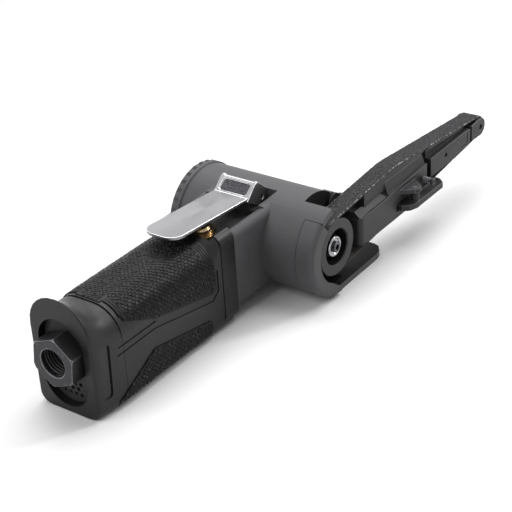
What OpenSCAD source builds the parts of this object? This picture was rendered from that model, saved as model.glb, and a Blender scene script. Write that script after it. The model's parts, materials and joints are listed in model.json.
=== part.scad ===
// Hand-held air belt sander for narrow 10 mm belts: a moulded handle, a transverse vane motor
// with its belt pulley on the right, and a long arm that carries the belt to a small tip roller.
// The origin is on the inlet axis where the full thread begins. +X runs to the belt tip, +Y is
// the user's left and +Z is up. Sizes are in millimetres.

/* [Reach and height] */
// Start of the inlet thread to the motor axis
reach = 139.3; // [130:0.1:150]
// Height of the inlet axis above the motor axis
inlet_rise = 2.8; // [1:0.1:4]
// Height of the motor axis above the surface that the tool stands on
stand_h = 24.2; // [24:0.1:26]

/* [Handle] */
// Width of the grip
grip_w = 35; // [32:0.5:38]
// Top of the grip above the motor axis
grip_top = 20.8; // [19.5:0.1:22]
// Radius of the grip's upper corners
grip_top_r = 13; // [10:0.5:14]
// Radius of the grip's lower corners
grip_low_r = 5; // [3:0.5:6]
// Front of the collar, behind the motor axis
collar_x = 41.5; // [40:0.5:44]
// Length of the collar
collar_l = 9.5; // [8:0.5:11]
// Groove behind the textured pads, behind the motor axis
groove_x = 117; // [112:0.5:119]
// Top of the flared rear end above the motor axis
flare_top = 30.3; // [27:0.1:31]
// Wall of the moulded sleeve
sleeve_wall = 3; // [2.4:0.1:3.6]
// Height that the textured pads stand proud
pad_proud = 0.4; // [0.2:0.1:0.6]
// Depth of the pads below the surface
pad_depth = 1.2; // [0.8:0.1:1.5]
// Half width of the exhaust pocket round the inlet
pocket_r = 11.9; // [11.5:0.1:13]
// Depth of the exhaust pocket
pocket_depth = 3.5; // [2.5:0.5:5]
// Holes across one row of the exhaust cover
cover_holes = 4; // [4:1:6]
// Diameter of an exhaust hole
cover_hole_d = 1.8; // [1:0.1:2]

/* [Air inlet] */
// Across flats of the inlet hexagon
inlet_af = 20.6; // [20:0.1:21.4]
// Hexagon length ahead of the pocket floor
inlet_hex_l = 8.9; // [8:0.1:10]
// Minor diameter of the inlet thread
inlet_bore_d = 11.8; // [11:0.1:12.5]
// Length of the inlet thread
inlet_thread_l = 12; // [10:0.5:14]
// Start of the inlet thread behind the handle's rear face
inlet_stand_out = 4.8; // [4:0.1:6]
// Depth of the chamfer at the inlet's mouth
inlet_chamfer = 0.8; // [0.6:0.1:1.2]

/* [Motor] */
// Outside diameter of the motor barrel
barrel_d = 46.6; // [45.6:0.1:47.6]
// Left end of the barrel, where the cap meets it
barrel_left = 28.8; // [28.4:0.1:30]
// Width of the cap's scalloped flange
cap_w = 5.4; // [4:0.1:6]
// Number of scallops round the cap
cap_scallops = 32; // [24:1:40]
// Outside diameter of the cylinder liner
liner_d = 34; // [33:0.1:34.5]
// Wall of the cylinder liner at its bearing seats
liner_wall = 2.8; // [2.4:0.1:3]
// Length of the cylinder liner
liner_l = 33; // [30:0.5:33]
// Offset of the liner's bore from the shaft
liner_offset = 1.3; // [1:0.1:1.5]
// Diameter of the rotor
rotor_d = 25.2; // [24:0.1:25.2]
// Number of rotor vanes
vane_count = 5; // [4:1:6]
// Diameter of the motor shaft
shaft_d = 7.94; // [7.5:0.01:7.94]
// Running clearance on radius
running_gap = 0.04; // [0.02:0.01:0.08]

/* [Belt and pulleys] */
// Width of the belt
belt_w = 10; // [9:0.5:10]
// Thickness of the belt
belt_t = 0.9; // [0.6:0.1:1]
// Middle of the belt, right of the handle's middle plane
belt_y = 38.8; // [38.5:0.1:39]
// Radius of the drive pulley under the belt
pulley_r = 13; // [12.5:0.1:13.3]
// Radius of the recess in the pulley's face
pulley_recess_r = 8.7; // [8.3:0.1:9.5]
// Radius of the tip roller under the belt
tip_r = 4.65; // [4.4:0.05:4.9]
// Motor axis to the tip roller's axis
tip_x = 135.2; // [134:0.1:137]
// Height of the tip roller's axis above the motor axis
tip_z = 5.4; // [5:0.1:6]
// Top of the curved platen ahead of the motor axis
crest_x = 52; // [48:0.5:56]
// Height of the platen's top above the motor axis
crest_z = 17; // [16.4:0.1:17.4]
// Radius of the platen's curve
crest_r = 60; // [50:1:70]

/* [Arm] */
// Front end of the fixed arm ahead of the motor axis
arm_end = 79.8; // [78:0.1:81]
// Rear end of the arm box ahead of the motor axis
arm_start = 19; // [18:0.1:20]
// Stroke of the sliding arm when the belt is slackened
slide_stroke = 3.5; // [2.5:0.1:3.5]
// Front end of the sliding arm ahead of the motor axis
slide_end = 124; // [123:0.1:124.5]
// Radius of the two arm mounting bosses
boss_r = 4.4; // [4.2:0.1:4.8]
// Height of each boss from the motor axis
boss_z = 13.2; // [13:0.1:13.6]
// Bosses ahead of the motor axis
boss_x = 15.6; // [15.4:0.1:16]

/* [Guard] */
// Outside radius of the belt guard
guard_r = 23.4; // [23.2:0.1:23.8]
// Wall of the guard
guard_t = 1.6; // [1.2:0.1:1.8]
// Radius of the guard's opening round the pulley
guard_open_r = 16.4; // [16:0.1:17.5]
// Length of the guard's foot ahead of the motor axis
guard_foot = 43.5; // [38:0.5:46]
// Right face of the guard
guard_face = 46; // [45.6:0.1:46.5]

/* [Throttle] */
// Width of the lever plate
lever_w = 18.6; // [16.6:0.2:19]
// Thickness of the lever plate
lever_t = 1.5; // [1.2:0.1:1.8]
// Length of the lever from its pin to its tip
lever_l = 62.5; // [55:0.5:64]
// Diameter of the lever's pin
lever_pin_d = 2.5; // [2:0.1:3]
// Valve bushing behind the motor axis
valve_x = 43; // [42.5:0.1:44]
// Radius of the valve bushing's flange
valve_flange_r = 8.2; // [7.5:0.1:8.6]
// Diameter of the valve stem
stem_d = 4; // [3.5:0.1:4.5]

/* [Latch and tracking screw] */
// Latch pivot ahead of the motor axis
latch_x = 61; // [60:0.1:62]
// Latch pivot right of the middle plane
latch_y = 49.3; // [49:0.1:49.6]
// Length of the latch ahead of its pivot
latch_l = 26; // [22:0.5:27]
// Tracking screw ahead of the latch pivot
track_ahead = 14; // [13:0.1:15]
// Turns of the tracking screw's spring
track_turns = 5; // [4:1:5]
// Wire diameter of the tracking screw's spring
track_wire = 0.4; // [0.3:0.05:0.4]

/* [Hidden] */
$fn = 64;

// Colours
c_housing = "#5c5c5f";
c_black = "#2b2b2d";
c_rubber = "#1f1f20";
c_steel = "#c9cbcd";
c_brass = "#b58a45";
c_dark_steel = "#3b3b3e";
c_cast = "#4a4a4d";
c_bronze = "#8c6a3f";
c_belt = "#333335";

// Clearances
fit = 0.1;
slip = 0.15;
eps = 0.01;

// Handle
rear_x = reach - inlet_stand_out;
half_grip = grip_w / 2;
floor_z = -stand_h;
collar_half = half_grip + 0.8;
collar_top = grip_top + 1.5;
collar_low = floor_z + 1.7;
collar_r = 5;
core_half = half_grip - sleeve_wall;
core_top = grip_top - sleeve_wall - 1;
core_low = floor_z + sleeve_wall + 1.2;
core_r = grip_top_r - sleeve_wall - 1;
core_low_r = 3;
core_rear = groove_x + 1;
neck_half = collar_half - 0.3;
neck_low = -18.8;
neck_top = grip_top - 0.8;
neck_r = 4.5;
channel_half = 10.2;
channel_flare = 15.5;
channel_floor = core_top - 2.2;
pad_front = collar_x + collar_l + 4.6;
pocket_mid = -0.3;
pocket_rise = 8.6;
cover_t = 1.6;
cover_x = rear_x - pocket_depth;
silencer_gap = 0.3;

// Inlet
inlet_face = reach + inlet_chamfer;
shank_r = 8;
screen_r = 5.1;
shank_end = core_rear - 13;
inlet_r = inlet_bore_d / 2;
air_r = 4;

// Motor, with depths measured to the right of the middle plane
barrel_r = barrel_d / 2;
liner_r = liner_d / 2;
bore_r = liner_r + running_gap;
liner_in = liner_r - liner_wall;
rotor_r = rotor_d / 2;
shaft_r = shaft_d / 2;
bearing_r = 8;
bearing_w = 5;
plate_t = 6.5;
liner_front = 17.5;
liner_rear = liner_front - liner_l;
bore_front = liner_front + plate_t + 0.1;
wall_front = 31.5;
seal_r = 7.5;
guard_joint = 37;
chamber_r = 20.4;
slot_angle = 104;
guard_angle = 126;
spigot_r = guard_r - guard_t - 0.2;
cap_face = barrel_left + cap_w;
cap_r = barrel_r + 0.7;

// Belt
belt_left = belt_y - belt_w / 2;
belt_right = belt_y + belt_w / 2;
pulley_back = belt_left - 0.4;
pulley_face = belt_right + 0.5;
belt_gap = 0.05;
crest_c = [crest_x, crest_z - crest_r];
tip_c = [tip_x, tip_z];
pulley_c = [0, 0];

// Arm
arm_left = wall_front + 0.1;
arm_plate_t = belt_left - 0.4 - arm_left;
cheek_in = belt_right + 0.3;
cheek_out = cheek_in + 1.1;
core_in = arm_left + arm_plate_t - 0.2;
slide_gap = slide_stroke + 0.3;
slide_start = arm_end + slide_gap;
tongue_half = 3;
tongue_low = -2;
tongue_top = 4.6;
tongue_l = 24;
spring_r = 2.4;
spring_start = arm_start + 13;
platen_start = arm_start + 9;
rib_half = 3.4;
fork_gap = 1.8;
fork_start = slide_end + fork_gap;
fork_t = 1.2;
fork_in = belt_left - 0.3;
cheek_low = -8.8;
slide_low = -1;
slide_top = 9.5;
axle_r = 1.5;

// Throttle lever, on the motor's axes
pin_x = -8;
pin_z = barrel_r - 2.7;
kink = [-18.5, pin_z + 3.5];
crown = [-11.6, pin_z + 8.4];
lever_tip = [pin_x - lever_l, pin_z + 7.4];
ear_in = lever_w / 2 - lever_t + 0.4;
ear_t = lever_t;
lug_half = ear_in - 0.2;
valve_low = -5.5;
seat_z = 8;
feed_z = 10.8;
feed_r = 2.2;
stem_top = kink[1] + (lever_tip[1] - kink[1]) * (valve_x + kink[0]) / (-lever_tip[0] + kink[0]) - lever_t;

// Latch
ear_z = 2.8;
ear_top = 5;
latch_low = -5;
latch_top = -2.8;
latch_rim = 0.7;
latch_hub = 2.4;
latch_pin_r = 1;
latch_tail = 9;
pocket_in = 2.8;
track_x = latch_x + track_ahead;
track_z = 1.9;
track_r = 0.85;
track_len = 5.4;
track_coil_r = 1.55;

// Helpers: profiles in the XZ plane extruded across the tool, and so on
module on_motor() { translate([reach, 0, -inlet_rise]) children(); }
module across(right, left) {
    // Profile in XZ, from depth `left` to depth `right` measured to the right of the middle plane
    translate([0, -left, 0]) rotate([90, 0, 0]) linear_extrude(right - left) children();
}
module along(a, b) { translate([a, 0, 0]) rotate([90, 0, 90]) linear_extrude(b - a) children(); }
module upward(a, b) { translate([0, 0, a]) linear_extrude(b - a) children(); }
module disc_y(left, right, r) { translate([0, -left, 0]) rotate([90, 0, 0]) cylinder(h = right - left, r = r); }
module rod_x(a, b, r) { translate([a, 0, 0]) rotate([0, 90, 0]) cylinder(h = b - a, r = r); }
module turned(from = 0, angle = 360) {
    // Profile of [radius, depth to the right], swept about the motor's axis
    rotate([90, 0, 0]) rotate([0, 0, from]) rotate_extrude(angle = angle) children();
}
module rounded_box(x, y, r) {
    square([x - 2 * r, y], center = true);
    square([x, y - 2 * r], center = true);
    for (i = [-1, 1]) for (k = [-1, 1]) translate([i * (x / 2 - r), k * (y / 2 - r)]) circle(r = r);
}
module at_xz(p) { translate([p[0], 0, p[1]]) children(); }

// Rounded section of the handle: upper and lower corners have their own radius
module section(half, top, low, r_top, r_low) {
    translate([-half, low + r_low]) square([2 * half, top - r_top - low - r_low]);
    translate([r_top - half, low + r_low]) square([2 * (half - r_top), top - low - r_low]);
    translate([r_low - half, low]) square([2 * (half - r_low), top - r_top - low]);
    for (side = [-1, 1]) {
        translate([side * (half - r_top), top - r_top]) circle(r = r_top);
        translate([side * (half - r_low), low + r_low]) circle(r = r_low);
    }
}

// Points of the same section, for the lofted ends of the sleeve
corner_steps = 7;
function corner(cx, cz, r, start) =
    [for (i = [0:corner_steps]) let (a = start + 90 * i / corner_steps) [cx + r * cos(a), cz + r * sin(a)]];
function ring(half, top, low, r_top, r_low) = concat(
    corner(half - r_top, top - r_top, r_top, 0),
    corner(r_top - half, top - r_top, r_top, 90),
    corner(r_low - half, low + r_low, r_low, 180),
    corner(half - r_low, low + r_low, r_low, 270)
);

// Skin through sections given as [x, half, top, low, r_top, r_low], from the rear forward
module loft(stations) {
    rings = [for (s = stations) [for (p = ring(s[1], s[2], s[3], s[4], s[5])) [s[0], p[0], p[1]]]];
    n = len(rings[0]);
    last = len(rings) - 1;
    points = [for (r = rings) for (p = r) p];
    walls = [for (k = [0:last - 1]) for (i = [0:n - 1]) let (j = (i + 1) % n, a = k * n, b = a + n)
        each [[a + i, b + i, b + j], [a + i, b + j, a + j]]];
    rear = [[for (i = [0:n - 1]) i]];
    front = [[for (i = [n - 1:-1:0]) last * n + i]];
    polyhedron(points = points, faces = concat(rear, walls, front), convexity = 6);
}

// Flared rear end: the top climbs in a concave sweep while sides and underside stay level
flare_x = rear_x - groove_x;
flare_h = flare_top - grip_top;
function flare_station(u, round_off = 0) = [
    -groove_x - flare_x * u,
    half_grip - 1.2 * u * u - round_off,
    grip_top + flare_h * pow(u, 2.2) - round_off,
    floor_z + round_off * 0.4,
    grip_top_r + (half_grip - 2 - grip_top_r) * u - round_off,
    grip_low_r
];
groove_w = 0.9;
groove_d = 0.6;
flare_stations = concat(
    [flare_station(1, 1.1), flare_station(0.975, 0.35)],
    [for (k = [0:6]) flare_station(0.93 - 0.86 * k / 6)],
    [sunk(-groove_x - groove_w, groove_d), sunk(-groove_x + 3, groove_d)]
);
function shrunk(x, d) = [x, half_grip - d, grip_top - d, floor_z + d * 0.3, grip_top_r - d, grip_low_r];
function sunk(x, d) = [x, half_grip - 0.1, grip_top - d, floor_z + 0.1, grip_top_r, grip_low_r];
module handle_form() {
    along(-groove_x, -collar_x - 3) section(half_grip, grip_top, floor_z, grip_top_r, grip_low_r);
    along(-collar_x - collar_l, -collar_x) section(collar_half, collar_top, collar_low, collar_r, collar_r);
    loft(flare_stations);
    loft([
        shrunk(-collar_x - collar_l - 5.5, 0.3),
        [-collar_x - collar_l - 0.4, collar_half - 0.4, collar_top - 0.4, collar_low + 0.3, collar_r + 1.5, collar_r],
        [-collar_x - collar_l + 2, collar_half - 0.1, collar_top - 0.1, collar_low + 0.1, collar_r, collar_r]
    ]);
}
module pocket_outline(grow = 0) {
    for (side = [-1, 1]) translate([0, pocket_mid + side * pocket_rise]) circle(r = pocket_r + grow);
    translate([-pocket_r - grow, pocket_mid - pocket_rise]) square([2 * (pocket_r + grow), 2 * pocket_rise]);
}

// Outlines of the textured pads, drawn on the handle's side
module upper_pad_outline() {
    polygon([
        [-groove_x + 1.5, 30], [-groove_x + 3, 14], [-96, 5.8], [-pad_front - 2.5, -2.4],
        [-pad_front, -0.4], [-pad_front, 30]
    ]);
}
module lower_pad_outline() {
    polygon([
        [-groove_x - 5, -40], [-groove_x - 5.5, -20], [-98.5, -7.4], [-pad_front - 5.5, -14.4],
        [-pad_front - 4, -16.4], [-pad_front - 4, -40]
    ]);
}
// Line that follows the pads at a little distance, as a shallow groove in the sleeve's sides
line_w = 0.8;
line_d = 0.4;
function heading(p, i) = let (k = min(max(i, 1), len(p) - 1), d = p[k] - p[k - 1]) d / norm(d);
function mitre(p, i) = let (a = heading(p, i), b = heading(p, i + 1), m = a + b, n = [-m[1], m[0]]) n / (n * [-a[1], a[0]]);
function strip(p, w) = concat([for (i = [0:len(p) - 1]) p[i] + w / 2 * mitre(p, i)],
    [for (i = [len(p) - 1:-1:0]) p[i] - w / 2 * mitre(p, i)]);
module side_lines() {
    across(half_grip + 1, half_grip - line_d) {
        polygon(strip([
            [-groove_x - 4, 1.2], [-97, 1.6], [-pad_front - 2.6, -6], [-pad_front + 1.6, -2.6], [-pad_front + 1.6, 7.4]
        ], line_w));
        polygon(strip([[-groove_x - 3, 4.6], [-96.4, 4.6]], line_w));
    }
}
pad_split = 6.5;
pad_seam = 0.06;
module pad_skin(from_x, to_x) {
    // Shell of the grip's section, from pad_depth below the surface to pad_proud above it
    difference() {
        along(from_x, to_x) section(half_grip + pad_proud, grip_top + pad_proud, floor_z,
            grip_top_r + pad_proud, grip_low_r + pad_proud);
        along(from_x - 1, to_x + 1) section(half_grip - pad_depth, grip_top - pad_depth,
            floor_z - 1, grip_top_r - pad_depth, grip_low_r - pad_depth);
    }
}
module upper_pad() {
    intersection() {
        pad_skin(-groove_x, -pad_front);
        across(half_grip + 2, pad_split + pad_seam) upper_pad_outline();
    }
}
module lower_pad() {
    intersection() {
        pad_skin(-groove_x - 6, -pad_front);
        across(half_grip + 2, half_grip - 4) lower_pad_outline();
        upward(floor_z + 0.5, 0) translate([-rear_x, -grip_w]) square([rear_x, 2 * grip_w]);
    }
}
module top_pad() {
    intersection() {
        pad_skin(-groove_x + 0.8, -pad_front);
        upward(0, 2 * grip_top) translate([-rear_x, -pad_split]) square([rear_x, 2 * pad_split]);
    }
}

module handle_sleeve() color(c_black) on_motor() difference() {
    handle_form();
    along(-core_rear - fit, -collar_x + 1)
        section(core_half + fit, core_top + fit, core_low - fit, core_r, core_low_r);
    along(-rear_x - 1, -cover_x + cover_t) pocket_outline();
    along(-cover_x + cover_t - eps, -core_rear) pocket_outline(-1.2);
    lever_channel();
    valve_recess();
    grip_recess();
}
module lever_channel() {
    // Channel with sloping sides, from the collar to the barrel
    along(-collar_x - collar_l - 2, -16) polygon([
        [-channel_half, channel_floor], [channel_half, channel_floor], [channel_flare, 23], [channel_flare, 40],
        [-channel_flare, 40], [-channel_flare, 23]
    ]);
}
module valve_recess() {
    translate([-valve_x, 0, channel_floor]) cylinder(h = 30, r = valve_flange_r + 3.2);
}
module grip_recess() {
    // Seats of the five pads
    top_pad();
    for (side = [0, 1]) mirror([0, side, 0]) {
        upper_pad();
        lower_pad();
        side_lines();
    }
    // Slanted label recess on the right side, left bare
    translate([-rear_x + 6.6, -half_grip - 0.4, -3]) rotate([90, 2.5, 0]) linear_extrude(2.6, center = true) {
        square([5.4, 21], center = true);
        square([1.8, 24.6], center = true);
        for (i = [-1, 1]) for (k = [-1, 1]) translate([i * 0.9, k * 10.5]) circle(r = 1.8);
    }
}

module top_grip_pad() color(c_rubber) on_motor() difference() {
    top_pad();
    valve_recess();
    lever_channel();
}
module right_upper_pad() color(c_rubber) on_motor() difference() {
    upper_pad();
    valve_recess();
}
module left_upper_pad() color(c_rubber) on_motor() difference() {
    mirror([0, 1, 0]) upper_pad();
    valve_recess();
}
module right_lower_pad() color(c_rubber) on_motor() lower_pad();
module left_lower_pad() color(c_rubber) on_motor() mirror([0, 1, 0]) lower_pad();

// Perforated cover over the exhaust chamber, clamped under the inlet hexagon
module exhaust_cover() color(c_black) on_motor() difference() {
    along(-cover_x, -cover_x + cover_t) pocket_outline(-fit);
    translate([0, 0, inlet_rise]) rod_x(-cover_x - 1, -cover_x + cover_t + 1, shank_r + fit);
    for (row = [0:2]) for (i = [0:cover_holes - 1 - row % 2]) {
        span = cover_holes - 1 - row % 2;
        translate([-cover_x - 1, (i - span / 2) * 3, -11.4 - 2.6 * row])
            rotate([0, 90, 0]) cylinder(h = 5, r = cover_hole_d / 2, $fn = 24);
    }
}
module exhaust_silencer() color("#4d4a45") on_motor() difference() {
    along(-cover_x + cover_t + silencer_gap, -core_rear - silencer_gap) pocket_outline(-1.5);
    translate([0, 0, inlet_rise]) rod_x(-cover_x, -core_rear, shank_r + silencer_gap);
}

// Inlet bushing: hexagon outside, threaded mouth, shank screwed into the handle's core
module inlet_bushing() color(c_dark_steel) translate([0, 0, 0]) difference() {
    union() {
        intersection() {
            along(-inlet_chamfer, -inlet_chamfer + inlet_hex_l + 0.2) rotate(38) circle(r = inlet_af / sqrt(3), $fn = 6);
            rotate([0, 90, 0]) translate([0, 0, -inlet_chamfer])
                cylinder(h = inlet_hex_l + 0.2, r1 = inlet_af / 2 + 0.9, r2 = inlet_af / 2 + 12);
        }
        rod_x(inlet_hex_l - inlet_chamfer, reach - shank_end, shank_r);
    }
    rod_x(-inlet_chamfer - eps, inlet_thread_l, inlet_r);
    rod_x(inlet_thread_l - eps, reach - shank_end + 1, screen_r + 0.1);
    translate([-inlet_chamfer - eps, 0, 0]) rotate([0, 90, 0])
        cylinder(h = inlet_chamfer + eps, r1 = inlet_r + inlet_chamfer, r2 = inlet_r);
}
module inlet_screen() color(c_steel) difference() {
    rod_x(inlet_thread_l + 0.2, inlet_thread_l + 9, screen_r);
    rod_x(inlet_thread_l, inlet_thread_l + 8.2, screen_r - 0.6);
}

// Motor housing: barrel, neck and the core inside the handle, cast in one
module core_form() {
    along(-core_rear, -collar_x + 1) section(core_half, core_top, core_low, core_r, core_low_r);
}
module neck_form() {
    // The neck grows a little towards the barrel
    loft([
        [-collar_x, neck_half, neck_top, neck_low, neck_r, neck_r],
        [-4, neck_half + 1.5, neck_top + 1, neck_low, neck_r, neck_r]
    ]);
}
module sector(start, stop, r) {
    // Wedge in the XZ plane between two angles no more than 180 degrees apart
    mid = (start + stop) / 2;
    reach_r = r / cos((stop - start) / 4);
    polygon([[0, 0], r * [cos(start), sin(start)],
        reach_r * [cos((start + mid) / 2), sin((start + mid) / 2)],
        r * [cos(mid), sin(mid)],
        reach_r * [cos((mid + stop) / 2), sin((mid + stop) / 2)],
        r * [cos(stop), sin(stop)]]);
}
module motor_housing() color(c_housing) on_motor() difference() {
    union() {
        disc_y(-barrel_left, wall_front, barrel_r);
        intersection() {
            difference() {
                disc_y(wall_front - eps, guard_joint, barrel_r);
                disc_y(wall_front, guard_joint + 1, chamber_r);
            }
            across(guard_joint + 1, wall_front - 1) union() {
                sector(slot_angle, 215, 40);
                sector(214, 290, 40);
            }
        }
        // Lip over the belt's rear wrap, between the belt slot and the guard
        intersection() {
            difference() {
                disc_y(guard_joint - eps, guard_face, barrel_r);
                disc_y(wall_front, guard_face + 1, chamber_r);
            }
            across(guard_face + 1, guard_joint - 1) sector(slot_angle, guard_angle, 40);
        }
        // Spigot that carries the guard
        intersection() {
            difference() {
                disc_y(guard_joint - eps, guard_joint + 4.5, spigot_r);
                disc_y(wall_front, guard_joint + 6, chamber_r);
            }
            across(guard_joint + 6, guard_joint - 1) union() {
                sector(guard_angle - 1, 215, 40);
                sector(214, 290, 40);
            }
        }
        neck_form();
        core_form();
        // Bosses that carry the arm
        for (side = [-1, 1]) at_xz([boss_x, side * boss_z]) disc_y(wall_front - 5, wall_front, boss_r);
        // Lug between the lever's ears
        at_xz([pin_x, pin_z]) disc_y(-lug_half, lug_half, 4.2);
    }
    // Motor bore, front wall and shaft hole
    disc_y(-barrel_left - 1, bore_front, bore_r);
    disc_y(bore_front - eps, bore_front + 1.2, shaft_r + 2.5);
    disc_y(bore_front + 1, wall_front + 1, seal_r);
    // Screw holes of the arm
    for (side = [-1, 1]) at_xz([boss_x, side * boss_z]) disc_y(wall_front - 9, wall_front + 1, 1.5);
    // Channel for the lever and the valve
    lever_channel();
    // Rolled upper edges of the channel
    for (side = [0, 1]) mirror([0, side, 0]) along(-collar_x + 0.05, -16.1) polygon([
        [11.4, 16.6], [12.6, 18.4], [14, 19.4], [15.6, 19.9], [18, 20.2], [18, 40], [11.4, 40]
    ]);
    // Slots of the lever's ears, and room above the lug's rear
    for (side = [-1, 1]) translate([0, side * (ear_in + ear_t / 2), 0]) {
        at_xz([pin_x, pin_z]) rotate([90, 0, 0]) cylinder(h = ear_t + 1, r = 4.3, center = true);
        upward(pin_z - 3.4, 60) translate([-17, -ear_t / 2 - 0.5]) square([13.4, ear_t + 1]);
    }
    // Sloping sides beside the ears
    for (side = [0, 1]) mirror([0, side, 0]) along(-16.1, pin_x + 4.4) polygon([
        [ear_in + 1, pin_z - 3.2], [ear_in + 2, pin_z - 3.2], [channel_flare, 23], [channel_flare, 40], [ear_in + 1, 40]
    ]);
    // Lever pin, valve, air and exhaust passages
    at_xz([pin_x, pin_z]) disc_y(-lug_half - 0.1, lug_half + 0.1, lever_pin_d / 2 + running_gap);
    translate([-valve_x, 0, valve_low]) cylinder(h = 60, r = 5.5 + running_gap);
    translate([0, 0, inlet_rise]) rod_x(-core_rear - 1, -valve_x, air_r);
    translate([0, 0, inlet_rise]) rod_x(-core_rear - 1, -shank_end + 0.5, shank_r + running_gap);
    translate([0, 0, feed_z]) rod_x(-valve_x, -10, feed_r);
    translate([0, 0, -12.5]) rod_x(-core_rear - 1, -8, 4);
    screw_seats();
}
// Holes under the guard's two screws
guard_screw_angles = [226, 256];
module screw_seats() {
    for (a = guard_screw_angles) translate([0, -guard_joint - 2.6, 0]) rotate([0, -a, 0]) rod_x(chamber_r - 1, guard_r + 1, 1.1);
}

// Cap with a scalloped rim, screwed into the barrel's left end
module motor_cap() color(c_housing) on_motor() difference() {
    union() {
        turned() polygon([
            [0, -cap_face], [cap_r - 1.2, -cap_face], [cap_r, -cap_face + 1.2],
            [cap_r, -barrel_left - 0.5], [cap_r - 0.5, -barrel_left], [0, -barrel_left]
        ]);
        disc_y(-barrel_left - eps, liner_rear - plate_t - 0.1, bore_r - running_gap);
    }
    for (i = [0:cap_scallops - 1]) rotate([0, i * 360 / cap_scallops, 0])
        translate([cap_r + 0.3, cap_face + 1, 0]) rotate([90, 0, 0]) cylinder(h = cap_w - 0.8, r = 1.5, $fn = 24);
    disc_y(liner_rear - plate_t - 3, liner_rear, shaft_r + 1);
    // Groove of the seal
    difference() {
        disc_y(-barrel_left + 2.1, -barrel_left + 3.5, bore_r + 1);
        disc_y(-barrel_left + 2, -barrel_left + 4, bore_r - 1.3);
    }
    // Shallow dish in the outer face
    disc_y(-cap_face - 1, -cap_face + 0.8, barrel_r - 7);
}
module cap_seal() color(c_rubber) on_motor() difference() {
    disc_y(-barrel_left + 2.2, -barrel_left + 3.4, bore_r - 0.01);
    disc_y(-barrel_left, -barrel_left + 5, bore_r - 1.2);
}

// Vane motor
module cylinder_liner() color(c_steel) on_motor() difference() {
    disc_y(liner_rear, liner_front, liner_r);
    translate([0, 0, -liner_offset]) disc_y(liner_rear - 1, liner_front + 1, liner_in);
    // Air port at the rear, exhaust ports below
    translate([0, 0, feed_z]) rod_x(-liner_r - 1, 0, feed_r - 0.2);
    for (d = [-8, 0, 8]) translate([0, d, -12.5]) rod_x(-liner_r - 1, 0, 1.8);
}
module end_plate(from) {
    difference() {
        disc_y(from, from + plate_t, liner_r);
        disc_y(from - 1, from + plate_t + 1, shaft_r + 1.2);
        children();
    }
}
module rear_end_plate() color(c_cast) on_motor() end_plate(liner_rear - plate_t)
    disc_y(liner_rear - plate_t - 1, liner_rear - plate_t + bearing_w, bearing_r + 0.02);
module front_end_plate() color(c_cast) on_motor() end_plate(liner_front)
    disc_y(liner_front + plate_t - bearing_w, liner_front + plate_t + 1, bearing_r + 0.02);
module bearing(from, outer, inner, w) {
    groove = (outer - inner) * 0.18;
    difference() {
        disc_y(from, from + w, outer);
        disc_y(from - 1, from + w + 1, inner);
        for (end = [from - 1, from + w - 0.5]) difference() {
            disc_y(end, end + 1.5, outer - groove);
            disc_y(end - 1, end + 3, inner + groove);
        }
    }
}
module rear_bearing() color(c_steel) on_motor()
    bearing(liner_rear - plate_t, bearing_r, shaft_r + running_gap, bearing_w);
module front_bearing() color(c_steel) on_motor()
    bearing(liner_front + plate_t - bearing_w, bearing_r, shaft_r + running_gap, bearing_w);
module shaft_seal() color(c_rubber) on_motor() difference() {
    disc_y(bore_front + 1.4, bore_front + 5, seal_r - 0.02);
    disc_y(bore_front, wall_front, shaft_r + 0.3);
}
slot_depth = 7;
slot_w = 1.6;
module rotor() color(c_steel) on_motor() difference() {
    union() {
        disc_y(liner_rear + 0.15, liner_front - 0.15, rotor_r);
        disc_y(liner_rear - plate_t + 0.2, pulley_face - 2.4, shaft_r);
    }
    for (i = [0:vane_count - 1]) rotate([0, i * 360 / vane_count, 0])
        across(liner_front + 1, liner_rear - 1) translate([rotor_r - slot_depth, -slot_w / 2 - 0.05])
            square([slot_depth + 1, slot_w + 0.1]);
    disc_y(pulley_face - 14, pulley_face, 1.5 + 0.02);
}
module rotor_vanes() color("#6b4a2c") on_motor() for (i = [0:vane_count - 1])
    rotate([0, i * 360 / vane_count, 0]) across(liner_front - 0.2, liner_rear + 0.2)
        translate([rotor_r - slot_depth + 0.2, -slot_w / 2]) square([slot_depth - 0.1, slot_w]);

// Drive pulley: crowned rim, deep recess, thin flange that keeps the belt on
module drive_pulley() color(c_housing) on_motor() difference() {
    turned() polygon([
        [shaft_r + 0.02, pulley_back], [pulley_r - 0.5, pulley_back], [pulley_r, pulley_back + 0.5],
        [pulley_r, belt_right + 0.1], [pulley_r + 0.6, belt_right + 0.1],
        [pulley_r + 0.6, pulley_face - 0.2], [pulley_r + 0.4, pulley_face], [pulley_recess_r + 0.5, pulley_face],
        [pulley_recess_r, pulley_face - 0.5], [pulley_recess_r, pulley_back + 4],
        [shaft_r + 1.1, pulley_back + 4], [shaft_r + 1.1, pulley_face - 2.4], [shaft_r + 0.02, pulley_face - 2.4]
    ]);
}
module pulley_washer() color("#e6e8ea") on_motor() turned() polygon([
    [1.55, pulley_face - 2.4], [5, pulley_face - 2.4], [5, pulley_face - 1.4], [4.6, pulley_face - 1],
    [3.9, pulley_face - 1], [3.4, pulley_face - 1.7], [1.55, pulley_face - 1.7]
]);
module pulley_screw() color("#8f9194") on_motor() difference() {
    union() {
        disc_y(pulley_face - 12, pulley_face - 1.6, 1.5);
        turned() polygon([
            [0, pulley_face - 1.7], [2.7, pulley_face - 1.7], [2.7, pulley_face - 0.2],
            [2.4, pulley_face + 0.1], [0, pulley_face + 0.1]
        ]);
    }
    across(pulley_face + 1, pulley_face - 1.4) circle(r = 1.45, $fn = 6);
}

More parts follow.
